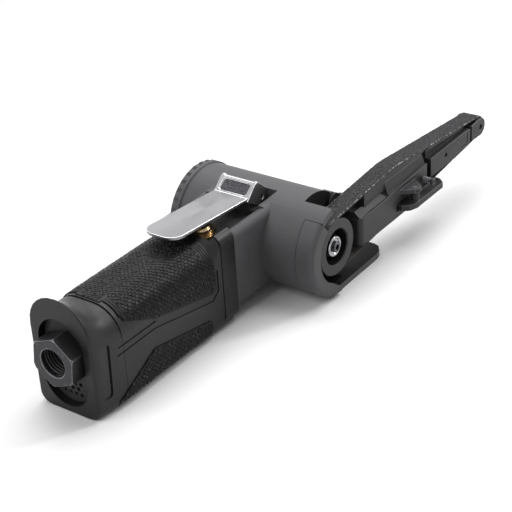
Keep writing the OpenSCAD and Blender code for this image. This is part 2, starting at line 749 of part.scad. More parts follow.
// Belt path: tangent lines between the pulley, the platen's curve and the tip roller
function unit(a) = [cos(a), sin(a)];
function dir(a, b) = atan2(b[1] - a[1], b[0] - a[0]);
function side_angle(a, ra, b, rb, side) = dir(a, b) + side * acos((ra - rb) / norm(b - a));
n_rise = side_angle(pulley_c, pulley_r, crest_c, crest_r, 1);
n_fall = side_angle(crest_c, crest_r, tip_c, tip_r, 1);
n_return = side_angle(pulley_c, pulley_r, tip_c, tip_r, -1);
// Pieces of a band that follows the belt, between the offsets lo and hi from its inside. Each
// arc is a hair thicker than the straight runs and reaches a little way over their ends.
arc_skin = 0.03;
arc_over = 1.5;
module band_line(a, ra, b, rb, n, lo, hi, left, right) across(right, left) polygon([
    a + (ra + lo) * unit(n), b + (rb + lo) * unit(n), b + (rb + hi) * unit(n), a + (ra + hi) * unit(n)
]);
module band_arc(c, r, start, angle, lo, hi, left, right) at_xz(c) turned(start - arc_over, angle + 2 * arc_over)
    translate([r + lo - arc_skin, left]) square([hi - lo + 2 * arc_skin, right - left]);
module upper_band(lo, hi, left, right) {
    band_line(pulley_c, pulley_r, crest_c, crest_r, n_rise, lo, hi, left, right);
    band_arc(crest_c, crest_r, n_fall, n_rise - n_fall, lo, hi, left, right);
    band_line(crest_c, crest_r, tip_c, tip_r, n_fall, lo, hi, left, right);
}
// Height of the inside of the returning run at x
function return_z(x) = (pulley_r - x * cos(n_return)) / sin(n_return);
// Height of the inside of the falling run at x
function fall_z(x) = crest_c[1] + (crest_r - (x - crest_c[0]) * cos(n_fall)) / sin(n_fall);
function arc_points(c, r, from, to, step) = let (n = ceil(abs(to - from) / step))
    [for (i = [0:n]) c + r * unit(from + (to - from) * i / n)];
function belt_line(d) = concat(
    arc_points(crest_c, crest_r + d, n_rise, n_fall, 2),
    arc_points(tip_c, tip_r + d, n_fall, n_return, 6),
    arc_points(pulley_c, pulley_r + d, n_return + 360, n_rise, 4)
);
module sanding_belt() color(c_belt) on_motor() across(belt_right, belt_left) difference() {
    polygon(belt_line(belt_gap + belt_t));
    polygon(belt_line(belt_gap));
}

// Belt guard: quarter shell round the pulley with a long foot under the belt
guard_round = 2.4;
module guard_section() {
    // [radius, depth], rounded at the outer edge
    polygon(concat(
        [[guard_r, guard_joint], [guard_r, guard_face - guard_round]],
        [for (i = [1:6]) let (a = i * 15) [guard_r - guard_round + guard_round * cos(a), guard_face - guard_round + guard_round * sin(a)]],
        [[guard_open_r, guard_face], [guard_open_r, guard_face - guard_t], [guard_r - guard_round, guard_face - guard_t]],
        [for (i = [5:-1:0]) let (a = i * 15, r = guard_round - guard_t) [guard_r - guard_round + r * cos(a), guard_face - guard_round + r * sin(a)]],
        [[guard_r - guard_t, guard_joint]]
    ));
}
foot_in = 30;
cheek_round = 2.6;
foot_out = 43.8;
foot_t = 3;
joint_gap = 0.25;
foot_low = min(floor_z, -guard_r);
module foot_plan() {
    polygon([
        [-3, -foot_out], [36, 0.7 - foot_out], [39.2, 1.6 - foot_out], [guard_foot - 1, 4.2 - foot_out],
        [guard_foot, 7 - foot_out], [guard_foot, -foot_in], [9.6, -foot_in], [9.6, -guard_joint - joint_gap],
        [-3, -guard_joint - joint_gap]
    ]);
}
module belt_guard() color(c_housing) on_motor() difference() {
    union() {
        difference() {
            turned(guard_angle + 0.7, 269.3 - guard_angle) translate([0, joint_gap]) guard_section();
            // Sloping front end of the face
            across(guard_face + 1, guard_face - guard_t - 1) polygon([
                [-7.5, -12], [-7.2, -14.6], [0.8, -foot_t - 17.6], [4, -18], [4, -12]
            ]);
        }
        intersection() {
            across(foot_out, foot_in) polygon([
                [-3, foot_low + 1.1], [1, foot_low], [guard_foot, foot_low], [guard_foot, foot_low + foot_t], [-3, foot_low + foot_t]
            ]);
            upward(-40, 0) foot_plan();
        }
    }
    // Inside of the barrel's spigot stays clear
    disc_y(foot_in - 1, guard_joint + 5, spigot_r + 0.2);
    disc_y(guard_joint + 4, guard_joint + 6, spigot_r + 0.2);
    screw_seats();
    for (a = guard_screw_angles) translate([0, -guard_joint - 2.6, 0]) rotate([0, -a, 0])
        translate([guard_r - 1.1, 0, 0]) rotate([0, 90, 0]) cylinder(h = 2.2, r1 = 1.1, r2 = 3.3);
}
module guard_screws() color(c_dark_steel) on_motor()
    for (a = guard_screw_angles) translate([0, -guard_joint - 2.6, 0]) rotate([0, -a, 0]) {
        rod_x(chamber_r - 0.2, guard_r - 0.5, 1.05);
        translate([guard_r - 1.05, 0, 0]) rotate([0, 90, 0]) cylinder(h = 0.85, r1 = 1.05, r2 = 1.9);
    }

// Fixed arm: mounting plate beside the belt, box inside the belt loop, cheek outside it
belt_clear = 0.9;
function arm_low(x) = return_z(x) + belt_clear;
module arm_body() color(c_cast) on_motor() difference() {
    union() {
        across(arm_left + arm_plate_t, arm_left) difference() {
            union() {
                polygon([
                    [boss_x, boss_z + boss_r], [arm_start + 14, 10], [arm_end, 8.4],
                    [arm_end, arm_low(arm_end)], [arm_start + 14, arm_low(arm_start + 14)], [boss_x, -boss_z - boss_r]
                ]);
                for (side = [-1, 1]) translate([boss_x, side * boss_z]) circle(r = boss_r);
            }
            circle(r = pulley_r + 1.9);
        }
        across(cheek_out - 0.5, core_in) polygon([
            [arm_start, cheek_low], [arm_start + 11, cheek_low], [arm_end, arm_low(arm_end)],
            [arm_end, 7.9], [45.5, 6.2], [44, 5.4], [arm_start, 4.6]
        ]);
        across(cheek_out, cheek_in) polygon([
            [arm_start, cheek_low], [arm_end, cheek_low + 0.4], [arm_end, 8.2], [45.5, 6.6], [44, 6], [arm_start, 5.2]
        ]);
        // Bevelled top of the box behind the shoulder
        along(arm_start + 0.6, 45) polygon([
            [-core_in, 2], [0.4 - cheek_out, 2], [0.4 - cheek_out, 4.8], [-cheek_in + 3, 8], [-core_in, 8]
        ]);
        // Bevelled shoulder that rises from the cheek to the platen's seat
        along(44.5, arm_end) polygon([
            [-core_in, 4], [-cheek_in, 4], [-cheek_in, 6.9], [-cheek_in + 1.7, 12.2], [-cheek_in + 2.8, 13.2], [-core_in, 13.2]
        ]);
        intersection() {
            upper_band(-8, -1.1, core_in, belt_y + rib_half);
            across(60, 30) translate([platen_start - 1, 3]) square([arm_end - platen_start, 20]);
        }
        latch_ear();
    }
    // Guide for the sliding arm's tongue, and its spring chamber
    translate([arm_end - tongue_l - 5, -belt_y - tongue_half - slip, tongue_low - slip])
        cube([tongue_l + 6, 2 * (tongue_half + slip), tongue_top - tongue_low + 2 * slip]);
    translate([0, -belt_y, (tongue_low + tongue_top) / 2]) rod_x(spring_start, arm_end - tongue_l, spring_r + 0.3);
    // Holes: arm screws, latch pin, tracking screw
    for (side = [-1, 1]) at_xz([boss_x, side * boss_z]) {
        disc_y(arm_left - 1, arm_left + 4, 1.6);
        turned() polygon([[0, arm_left + 0.3], [1.6, arm_left + 0.3], [3.1, arm_left + arm_plate_t], [3.1, 40], [0, 40]]);
    }
    translate([latch_x, -latch_y, 0]) cylinder(h = 10, r = latch_pin_r + 0.02);
    translate([track_x, 0, track_z]) disc_y(belt_y + tongue_half, 60, track_r + running_gap);
    // Rounded front corner of the cheek
    upward(-40, 20) difference() {
        translate([arm_start - 1, -cheek_out - 1]) square([cheek_round + 1, cheek_round + 1]);
        translate([arm_start + cheek_round, cheek_round - cheek_out]) circle(r = cheek_round);
    }
    // Pocket that the latch's tail swings into
    translate([latch_x - latch_tail - 1.2, -cheek_out - 1, latch_low - 0.4])
        cube([latch_tail + 2.4, pocket_in + 1, latch_top + latch_rim - latch_low + 0.9]);
}
module latch_ear() {
    // Triangular lug with a round nose that holds the latch's pin
    upward(ear_z, ear_top) {
        polygon([
            [52.4, -cheek_in], [latch_x - 2.9, -latch_y - 1.7], [latch_x + 2.4, -latch_y - 2.2], [68.6, -cheek_in]
        ]);
        translate([latch_x, -latch_y]) circle(r = 3.1);
    }
}
module arm_screws() color(c_dark_steel) on_motor() for (side = [-1, 1]) at_xz([boss_x, side * boss_z]) {
    disc_y(wall_front - 8, arm_left + 0.8, 1.45);
    turned() polygon([
        [0, arm_left + 0.4], [1.45, arm_left + 0.4], [2.9, arm_left + arm_plate_t - 0.1], [0, arm_left + arm_plate_t - 0.1]
    ]);
}
// Curved steel platen under the upper run
module contact_platen() color(c_steel) on_motor() intersection() {
    upper_band(-1, -0.1, belt_y - 4.4, belt_y + 4.4);
    across(60, 30) translate([platen_start, 8]) square([arm_end - platen_start, 20]);
}

// Sliding arm: tongue in the fixed arm, two cheeks and a rib under the belt
module slide_arm() color(c_cast) on_motor() difference() {
    union() {
        translate([slide_start - tongue_l, -belt_y - tongue_half, tongue_low])
            cube([tongue_l + 4, 2 * tongue_half, tongue_top - tongue_low]);
        across(cheek_out, fork_in - fork_t) polygon([
            [slide_start, slide_low], [108, slide_low], [slide_end, return_z(slide_end) + 0.9],
            [slide_end, slide_top - 0.8], [slide_end - 3, slide_top - 0.3], [slide_start, slide_top - 0.7]
        ]);
        intersection() {
            band_line(crest_c, crest_r, tip_c, tip_r, n_fall, -7, -1.3, belt_y - rib_half, belt_y + rib_half);
            across(60, 30) translate([slide_start, 5]) square([slide_end - 2 - slide_start, 14]);
        }
    }
    // Slot for the fork's tongue, with a window in the right cheek
    translate([fork_slot, -belt_y - 4 - slip, fork_low - slip])
        cube([30, 8 + 2 * slip, fork_high - fork_low + 2 * slip]);
    translate([fork_slot + 3.5, -60, fork_low + 0.6]) cube([9.5, 60 - belt_y, fork_high - fork_low - 1.2]);
    translate([117, -belt_y, -10]) cylinder(h = 30, r = 1.02);
    // Small cross hole
    at_xz([99, 4.6]) disc_y(0, 60, 1.2);
}
fork_slot = 108.6;
fork_low = 1;
fork_high = 8;
catch_gap = 0.2;
module slide_platen() color(c_steel) on_motor() intersection() {
    band_line(crest_c, crest_r, tip_c, tip_r, n_fall, -1.2, -0.3, belt_y - 4.4, belt_y + 4.4);
    across(60, 30) translate([slide_start + 0.4, 5]) square([slide_end - 6 - slide_start, 15]);
}
module tension_spring() color(c_steel) on_motor() translate([0, -belt_y, (tongue_low + tongue_top) / 2]) difference() {
    rod_x(spring_start + 0.4, slide_start - tongue_l - 0.1, spring_r);
    rod_x(spring_start - 1, slide_start, spring_r - 0.7);
}

// Fork at the tip, with its tongue pinned in the sliding arm
module tip_fork() color(c_cast) on_motor() difference() {
    union() {
        translate([fork_slot + 0.4, -belt_y - 4, fork_low]) cube([fork_start - fork_slot + 2, 8, fork_high - fork_low]);
        // Block of the catch that fills the window in the sliding arm's right cheek
        translate([fork_slot + 3.8, catch_gap - cheek_out, fork_low + 0.9])
            cube([8.9, cheek_out - catch_gap - belt_y, fork_high - fork_low - 1.8]);
        for (left = [fork_in - fork_t, cheek_out - fork_t]) across(left + fork_t, left) {
            translate(tip_c) circle(r = tip_r);
            polygon([[fork_start, tip_z - tip_r + 0.3], [tip_x, tip_z - tip_r], [tip_x, tip_z + tip_r], [fork_start, tip_z + tip_r - 0.6]]);
        }
        across(cheek_out - 0.2, fork_in - fork_t) polygon([
            [fork_start, tip_z - tip_r + 0.9], [fork_start + 2.8, tip_z - tip_r + 1.2],
            [fork_start + 2.8, tip_z + tip_r - 1.4], [fork_start, tip_z + tip_r - 1.2]
        ]);
    }
    at_xz(tip_c) disc_y(20, 60, axle_r + 0.01);
    translate([117, -belt_y, -10]) cylinder(h = 30, r = 1.02);
}
module fork_pin() color(c_steel) on_motor() translate([117, -belt_y, slide_low + 1.8]) cylinder(h = slide_top - slide_low - 2.6, r = 1);
module tip_axle() color(c_dark_steel) on_motor() at_xz(tip_c) disc_y(fork_in - fork_t + 0.1, cheek_out - 0.8, axle_r - 0.01);
module tip_roller() color(c_dark_steel) on_motor() at_xz(tip_c) difference() {
    turned() polygon([
        [2.4, belt_left + 0.2], [tip_r - 0.4, belt_left + 0.2], [tip_r, belt_left + 0.6],
        [tip_r, belt_right - 0.6], [tip_r - 0.4, belt_right - 0.2], [2.4, belt_right - 0.2]
    ]);
}
module tip_bearing() color(c_steel) on_motor() at_xz(tip_c) difference() {
    disc_y(belt_left + 0.3, belt_right - 0.3, 2.39);
    disc_y(belt_left, belt_right, axle_r + running_gap);
}

// Latch lever: plate with a raised rim and a finger slot, turning on a vertical pin
latch_in = cheek_out + 0.4;
latch_out = latch_y + 2.7;
module latch_lever() color(c_dark_steel) on_motor() difference() {
    union() {
        upward(latch_low, latch_top) latch_outline();
        upward(latch_top - eps, latch_top + latch_rim) difference() {
            latch_outline();
            polygon([
                [latch_x + 4.6, -latch_in - 0.9], [latch_x + latch_l - 1.3, -latch_in - 0.9],
                [latch_x + latch_l - 1.6, -latch_in - 2.6], [latch_x + latch_l - 5, -latch_out + 0.9],
                [latch_x + 4.6, -latch_out + 0.9]
            ]);
        }
        // Hub under the ear
        translate([latch_x, -latch_y, latch_low]) cylinder(h = latch_hub - latch_low, r = 2.2);
    }
    translate([latch_x, -latch_y, latch_low - 1]) cylinder(h = 10, r = latch_pin_r + running_gap);
}
module latch_outline() {
    polygon([
        [latch_x - latch_tail, 0.6 - cheek_out], [latch_x - 1.5, 0.6 - cheek_out], [latch_x - 0.8, -latch_in],
        [latch_x + latch_l - 0.6, -latch_in], [latch_x + latch_l, -latch_in - 1.2],
        [latch_x + latch_l - 0.5, -latch_in - 3.2], [latch_x + latch_l - 3.6, -latch_out],
        [latch_x - 2.4, -latch_out], [latch_x - 6.6, -latch_y - 1.2], [latch_x - latch_tail, -latch_y + 1.8]
    ]);
}
module latch_pin() color(c_steel) on_motor() translate([latch_x, -latch_y, latch_low - 0.9]) {
    cylinder(h = ear_top - latch_low + 0.5, r = latch_pin_r);
    cylinder(h = 0.8, r = latch_pin_r + 0.9);
}

// Coil as one unbroken tube: height h, mean radius r, wire diameter d; both ends run straight
coil_steps = 8;
function coil_points(h, r, d, turns) = concat(
    [[r, 0, 0]],
    [for (k = [0:turns * coil_steps]) let (u = k / (turns * coil_steps))
        [r * cos(u * turns * 360), r * sin(u * turns * 360), d + u * (h - 2 * d)]],
    [[r, 0, h]]
);
function least_gap(path, d) = min([for (i = [0:len(path) - 1]) for (j = [i + 5:1:len(path) - 1])
    norm(path[i] - path[j])]) - d;
wire_sides = 6;
module wire(path, d) {
    n = len(path);
    rings = [for (k = [0:n - 1]) let (
            a = path[max(k - 1, 0)], b = path[min(k + 1, n - 1)], t = (b - a) / norm(b - a),
            out = [path[k][0], path[k][1], 0] / norm([path[k][0], path[k][1], 0]), up = cross(t, out))
        [for (i = [0:wire_sides - 1])
            path[k] + d / 2 * (cos(i * 360 / wire_sides) * out + sin(i * 360 / wire_sides) * up / norm(up))]];
    points = [for (r = rings) for (p = r) p];
    walls = [for (k = [0:n - 2]) for (i = [0:wire_sides - 1])
        let (j = (i + 1) % wire_sides, a = k * wire_sides, b = a + wire_sides)
        each [[a + i, b + i, b + j], [a + i, b + j, a + j]]];
    caps = [[for (i = [0:wire_sides - 1]) i], [for (i = [wire_sides - 1:-1:0]) (n - 1) * wire_sides + i]];
    polyhedron(points = points, faces = concat(walls, caps), convexity = 8);
}

// Tracking screw and the spring that stops it turning
module tracking_screw() color(c_dark_steel) on_motor() translate([track_x, 0, track_z]) difference() {
    union() {
        disc_y(belt_y + tongue_half + slip + 0.05, cheek_out + track_len, track_r);
        turned() polygon([
            [0, cheek_out + track_len - 0.1], [1.8, cheek_out + track_len - 0.1], [1.8, cheek_out + track_len + 0.8],
            [1.5, cheek_out + track_len + 1.1], [0, cheek_out + track_len + 1.1]
        ]);
    }
    across(cheek_out + track_len + 2, cheek_out + track_len + 0.5) square([6, 0.5], center = true);
}
track_path = coil_points(track_len - 0.3, track_coil_r - track_wire / 2, track_wire, track_turns);
echo(str("least gap of the tracking spring to itself, mm: ", least_gap(track_path, track_wire)));
module tracking_spring() color(c_steel) on_motor() translate([track_x, -cheek_out - 0.1, track_z]) rotate([90, 0, 0])
    wire(track_path, track_wire);

// Throttle: brass bushing, stem, seal and spring in the neck, lever above
module valve_bushing() color(c_brass) on_motor() translate([-valve_x, 0, 0]) difference() {
    union() {
        translate([0, 0, seat_z]) cylinder(h = channel_floor - seat_z + 0.1, r = 5.5);
        translate([0, 0, channel_floor]) cylinder(h = 2.4, r = valve_flange_r);
        translate([0, 0, channel_floor + 2.3]) cylinder(h = 1.9, r = valve_flange_r - 1.8);
        translate([0, 0, channel_floor + 4.1]) cylinder(h = 1.2, r1 = valve_flange_r - 2.6, r2 = valve_flange_r - 3.4);
    }
    translate([0, 0, seat_z + 3]) cylinder(h = 40, r = stem_d / 2 + running_gap);
    translate([0, 0, seat_z - 1]) cylinder(h = 2.2, r = 3.1);
    translate([0, 0, seat_z + 1.1]) cylinder(h = 3.7, r = 4.2);
    translate([0, 0, feed_z]) rod_x(0, 8, feed_r);
}
module valve_stem() color(c_bronze) on_motor() translate([-valve_x, 0, 0]) {
    translate([0, 0, seat_z - 2]) cylinder(h = stem_top - seat_z + 1.9, r = stem_d / 2);
    translate([0, 0, seat_z - 2.8]) cylinder(h = 1.5, r = 3.8);
    translate([0, 0, seat_z - 5.8]) cylinder(h = 3.1, r = 1.6);
}
module valve_seal() color(c_rubber) on_motor() translate([-valve_x, 0, seat_z - 1.25]) difference() {
    cylinder(h = 1.2, r = 4.2);
    translate([0, 0, -1]) cylinder(h = 4, r = stem_d / 2 + 0.02);
}
module valve_spring() color(c_steel) on_motor() translate([-valve_x, 0, valve_low]) difference() {
    cylinder(h = seat_z - 2.85 - valve_low, r = 3);
    translate([0, 0, -1]) cylinder(h = 20, r = 2.3);
}
module throttle_lever() color(c_steel) on_motor() {
    slope = atan2(lever_tip[1] - kink[1], kink[0] - lever_tip[0]);
    rise = atan2(crown[1] - kink[1], crown[0] - kink[0]);
    n_plate = [sin(slope), cos(slope)];
    n_web = [-sin(rise), cos(rise)];
    difference() {
        union() {
            // Plate and raised web, cut to the rounded outline
            intersection() {
                across(lever_w / 2, -lever_w / 2) polygon([
                    lever_tip, kink, crown, crown + [1.6, -0.4], crown + [1.2, -0.4 - lever_t],
                    crown - lever_t * n_web + [0.2, 0], kink - lever_t * (n_plate + n_web) / 2, lever_tip - lever_t * n_plate
                ]);
                upward(0, 60) {
                    translate([lever_tip[0] + 6, -lever_w / 2]) square([80, lever_w]);
                    for (side = [-1, 1]) translate([lever_tip[0] + 6.5, side * (lever_w / 2 - 6.5)]) circle(r = 6.5);
                    translate([lever_tip[0], -lever_w / 2 + 6.5]) square([10, lever_w - 13]);
                }
            }
            // Ears down to the pin
            for (side = [-1, 1]) translate([0, side * (ear_in + ear_t / 2), 0]) rotate([90, 0, 0])
                linear_extrude(ear_t, center = true) {
                    polygon([
                        kink - [0.5, lever_t], crown - [1, 0.4], crown + [1, 0.2], [pin_x + 3.6, pin_z + 3.2],
                        [pin_x + 3.7, pin_z], [pin_x, pin_z - 3.7], [pin_x - 4.5, pin_z - 2.4]
                    ]);
                    translate([pin_x, pin_z]) circle(r = 3.9);
                }
        }
        // Shallow recess in the raised web, left bare
        translate([(kink[0] + crown[0]) / 2, 0, (kink[1] + crown[1]) / 2]) rotate([0, -rise, 0])
            linear_extrude(1.3, center = true) rounded_box(norm(crown - kink) - 2, 2 * (ear_in - 0.7), 1.3);
        at_xz([pin_x, pin_z]) disc_y(-20, 20, lever_pin_d / 2 + running_gap);
    }
}
module lever_pin() color(c_steel) on_motor() at_xz([pin_x, pin_z]) disc_y(-ear_in - ear_t + 0.7, ear_in + ear_t - 0.7, lever_pin_d / 2);

motor_housing();
handle_sleeve();
top_grip_pad();
right_upper_pad();
left_upper_pad();
right_lower_pad();
left_lower_pad();
exhaust_cover();
exhaust_silencer();
inlet_bushing();
inlet_screen();
valve_bushing();
valve_stem();
valve_seal();
valve_spring();
throttle_lever();
lever_pin();
motor_cap();
cap_seal();
cylinder_liner();
rear_end_plate();
front_end_plate();
rear_bearing();
front_bearing();
shaft_seal();
rotor();
rotor_vanes();
drive_pulley();
pulley_washer();
pulley_screw();
belt_guard();
guard_screws();
arm_body();
arm_screws();
contact_platen();
slide_arm();
slide_platen();
tension_spring();
tip_fork();
fork_pin();
tip_axle();
tip_roller();
tip_bearing();
sanding_belt();
latch_lever();
latch_pin();
tracking_screw();
tracking_spring();
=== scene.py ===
"""Power file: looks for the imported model. Metres, row frame: +X from air inlet to belt tip, +Z up."""
import json
import math

import bmesh
import bpy
import numpy as np
from mathutils import Matrix, Vector, noise
from mathutils.bvhtree import BVHTree


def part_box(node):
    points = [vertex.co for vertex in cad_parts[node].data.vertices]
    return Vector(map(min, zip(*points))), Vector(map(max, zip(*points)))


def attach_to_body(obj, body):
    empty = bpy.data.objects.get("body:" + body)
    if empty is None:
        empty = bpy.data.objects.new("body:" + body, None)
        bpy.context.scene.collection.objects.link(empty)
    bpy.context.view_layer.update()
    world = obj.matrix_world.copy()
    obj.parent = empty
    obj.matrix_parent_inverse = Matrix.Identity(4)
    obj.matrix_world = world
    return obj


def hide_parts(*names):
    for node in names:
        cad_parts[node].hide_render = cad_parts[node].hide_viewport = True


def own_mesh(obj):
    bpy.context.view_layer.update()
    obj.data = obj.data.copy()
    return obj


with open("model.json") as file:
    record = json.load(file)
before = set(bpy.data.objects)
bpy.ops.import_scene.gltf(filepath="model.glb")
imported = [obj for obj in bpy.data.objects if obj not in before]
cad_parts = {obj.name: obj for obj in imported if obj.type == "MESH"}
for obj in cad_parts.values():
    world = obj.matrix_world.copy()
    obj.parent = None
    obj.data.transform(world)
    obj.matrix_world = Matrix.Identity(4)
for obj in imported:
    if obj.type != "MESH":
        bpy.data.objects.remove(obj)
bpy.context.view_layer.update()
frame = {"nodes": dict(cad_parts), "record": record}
scene = bpy.context.scene
# Fixed, because scales and grit come from this noise and have to be the same each run
NOISE_SEED = 7
noise.seed_set(NOISE_SEED)
MM = 0.001
# A point of the motor's axis in the row frame, mm: places on the tool are given from here
MOTOR = Vector((139.3, 0, -2.8))
# Height of the floor in the row frame, mm
FLOOR_Z = -27.0
# Middle of the belt across the tool, and its width; half width of the grip
BELT_Y, BELT_W = 38.8, 10.0
HALF_GRIP = 17.5
AHEAD = Vector((1, 0, 0))
# Quarter turns that bring +Z to +X, and +Z to -Y
Z_TO_AHEAD = Matrix.Rotation(math.pi / 2, 4, "Y")
Z_TO_RIGHT = Matrix.Rotation(math.pi / 2, 4, "X")


def place(x, y, z):
    """A point given in mm from the motor's axis, in the row frame in metres."""
    return (MOTOR + Vector((x, y, z))) * MM


# Camera, as solved from the photograph: its place in mm, the ways it looks and has to its right, and its lens
CAMERA_SPOT = Vector((-322.416, -353.127, 308.041))
CAMERA_AHEAD = Vector((0.690, 0.531, -0.491))
CAMERA_RIGHT = Vector((0.582, -0.811, -0.059))
LENS, SENSOR = 99.057, 36


def camera():
    """The photograph's view."""
    forward = CAMERA_AHEAD.normalized()
    right = (CAMERA_RIGHT - forward * CAMERA_RIGHT.dot(forward)).normalized()
    up = right.cross(forward)
    data = bpy.data.cameras.new("camera")
    data.sensor_width = SENSOR
    data.lens = LENS
    data.clip_start = 0.01
    data.clip_end = 20
    holder = bpy.data.objects.new("camera", data)
    scene.collection.objects.link(holder)
    axes = Matrix((right, up, -forward)).transposed().to_4x4()
    holder.matrix_world = Matrix.Translation(CAMERA_SPOT * MM) @ axes
    scene.camera = holder


# Materials
def colour(hex_code):
    """sRGB hex to linear RGBA."""
    def channel(pair):
        v = int(pair, 16) / 255
        return v / 12.92 if v <= 0.04045 else ((v + 0.055) / 1.055) ** 2.4
    return (channel(hex_code[1:3]), channel(hex_code[3:5]), channel(hex_code[5:7]), 1)


def add(tree, kind, settings=None, links=None, **values):
    """Adds a node with its settings, its input values and the sockets that feed it."""
    made = tree.nodes.new(kind)
    for key, value in (settings or {}).items():
        setattr(made, key, value)
    for key, value in values.items():
        made.inputs[key.replace("_", " ")].default_value = value
    for key, socket in (links or {}).items():
        tree.links.new(socket, made.inputs[key])
    return made


def start(name, base, rough, metal=0.0, **constants):
    """A material with one Principled shader, whose constants are set on its own sockets."""
    material = bpy.data.materials.new(name)
    material.use_nodes = True
    tree = material.node_tree
    tree.nodes.clear()
    shader = add(tree, "ShaderNodeBsdfPrincipled", Base_Color=colour(base), Roughness=rough, Metallic=metal,
                 **constants)
    add(tree, "ShaderNodeOutputMaterial", links={"Surface": shader.outputs["BSDF"]})
    material.diffuse_color = colour(base)
    return material, tree, shader


def reckon(tree, operation, a, b):
    """One sum on two sockets."""
    return add(tree, "ShaderNodeMath", {"operation": operation}, {0: a, 1: b}).outputs[0]


def mix_colour(tree, factor, a, b):
    """Colour a, a hex code or a socket, where factor is 0, and the hex code b where it is 1."""
    made = add(tree, "ShaderNodeMix", {"data_type": "RGBA"}, {"Factor": factor}, B=colour(b))
    if isinstance(a, str):
        made.inputs["A"].default_value = colour(a)
    else:
        tree.links.new(a, made.inputs["A"])
    return made.outputs["Result"]


def ramp(tree, socket, low, high, to_low=0.0, to_high=1.0):
    """Stretches the span low to high of a socket to another span, and holds it there."""
    return add(tree, "ShaderNodeMapRange", links={"Value": socket}, From_Min=low, From_Max=high,
               To_Min=to_low, To_Max=to_high).outputs["Result"]


def speckle(tree, size_mm, detail=2.0, stretch=(1, 1, 1), roughness=0.5):
    """Noise over the object's own coordinates; size_mm is the width of a spot."""
    spot = add(tree, "ShaderNodeTexCoord").outputs["Object"]
    if stretch != (1, 1, 1):
        spot = add(tree, "ShaderNodeMapping", links={"Vector": spot}, Scale=stretch).outputs["Vector"]
    return add(tree, "ShaderNodeTexNoise", links={"Vector": spot}, Scale=1 / (size_mm * MM),
               Detail=detail, Roughness=roughness).outputs["Fac"]


def feed(tree, shader, body, rough=None):
    """Leads the colour into the shader, and the roughness where one is given."""
    tree.links.new(body, shader.inputs["Base Color"])
    if rough:
        tree.links.new(rough, shader.inputs["Roughness"])


def relief(tree, shader, height, depth_mm, strength=1.0):
    """Fine bumps, too low to be drawn as geometry."""
    bump = add(tree, "ShaderNodeBump", links={"Height": height}, Distance=depth_mm * MM, Strength=strength)
    tree.links.new(bump.outputs["Normal"], shader.inputs["Normal"])


def powder_coat(name, base, light, dark, rough, grain=0.32, depth=0.05, gloss=0.32):
    """Matte powder coat on a casting: fine pimples with paler tops, over a faint cloudiness."""
    material, tree, shader = start(name, base, rough, Specular_IOR_Level=gloss)
    cloud = speckle(tree, 14, detail=3)
    pimples = speckle(tree, grain, detail=1.5)
    body = mix_colour(tree, ramp(tree, cloud, 0.3, 0.7), dark, base)
    body = mix_colour(tree, ramp(tree, pimples, 0.45, 0.85, 0, 0.55), body, light)
    feed(tree, shader, body, ramp(tree, cloud, 0.2, 0.8, rough - 0.05, rough + 0.07))
    relief(tree, shader, pimples, depth)
    return material


def moulded(name, base, light, rough, grain=0.4, depth=0.03):
    """Injection-moulded plastic: spark-eroded grain, a little scuffing, satin gloss."""
    material, tree, shader = start(name, base, rough, Specular_IOR_Level=0.3)
    scuff = speckle(tree, 5, detail=5, roughness=0.65)
    grains = speckle(tree, grain, detail=2)
    body = mix_colour(tree, ramp(tree, scuff, 0.5, 0.8, 0, 0.7), base, light)
    feed(tree, shader, body, ramp(tree, scuff, 0.3, 0.75, rough - 0.06, rough + 0.08))
    relief(tree, shader, grains, depth)
    return material


def rubber(name, base, dust, rough):
    """Thermoplastic rubber: soft sheen, dust held in its fine grain."""
    material, tree, shader = start(name, base, rough, Specular_IOR_Level=0.15, Sheen_Weight=0.015)
    grains = speckle(tree, 0.35, detail=2)
    dusty = speckle(tree, 3, detail=4)
    feed(tree, shader, mix_colour(tree, ramp(tree, dusty, 0.45, 0.8, 0, 0.8), base, dust))
    relief(tree, shader, grains, 0.03)
    return material


def brushed(name, base, dark, rough, stretch, line_mm=0.12, depth=0.012, anisotropic=0.35):
    """Brushed steel: long fine scratches along one way, thin smudges that change the gloss."""
    material, tree, shader = start(name, base, rough, 1.0, Anisotropic=anisotropic)
    lines = speckle(tree, line_mm, 2, stretch)
    smudge = speckle(tree, 9, detail=4)
    body = mix_colour(tree, ramp(tree, lines, 0.3, 0.7), dark, base)
    feed(tree, shader, body, ramp(tree, smudge, 0.3, 0.75, rough - 0.06, rough + 0.1))
    relief(tree, shader, lines, depth)
    return material


def turned_metal(name, base, dark, rough, axis, pitch_mm=0.35):
    """Metal turned on a lathe: faint rings square to the axis."""
    material, tree, shader = start(name, base, rough, 1.0)
    stretch = {"y": (0.02, 1, 0.02), "z": (0.02, 0.02, 1)}[axis]
    rings = speckle(tree, pitch_mm, 2, stretch)
    stain = speckle(tree, 2.5, detail=4)
    body = mix_colour(tree, ramp(tree, stain, 0.35, 0.75), base, dark)
    feed(tree, shader, body, ramp(tree, stain, 0.3, 0.7, rough - 0.05, rough + 0.12))
    relief(tree, shader, rings, 0.015)
    return material


def blackened(name, base, bare, rough):
    """Black oxide on steel: oily dark skin with small rubbed spots."""
    material, tree, shader = start(name, base, rough, 0.75)
    rubbed = speckle(tree, 1.6, detail=5, roughness=0.7)
    body = mix_colour(tree, ramp(tree, rubbed, 0.58, 0.78), base, bare)
    feed(tree, shader, body, ramp(tree, rubbed, 0.3, 0.8, rough + 0.08, rough - 0.08))
    relief(tree, shader, speckle(tree, 0.3, detail=2), 0.015)
    return material


# The belt's crystals, drawn twice their size so that they show; the weave of its cloth; and the strip
# along each edge in which the cloth shows, all of it up to the first figure and none past the second
CRYSTAL, WEAVE = 0.7, 0.35
CUT_FULL, CUT_GONE = 0.45, 0.75


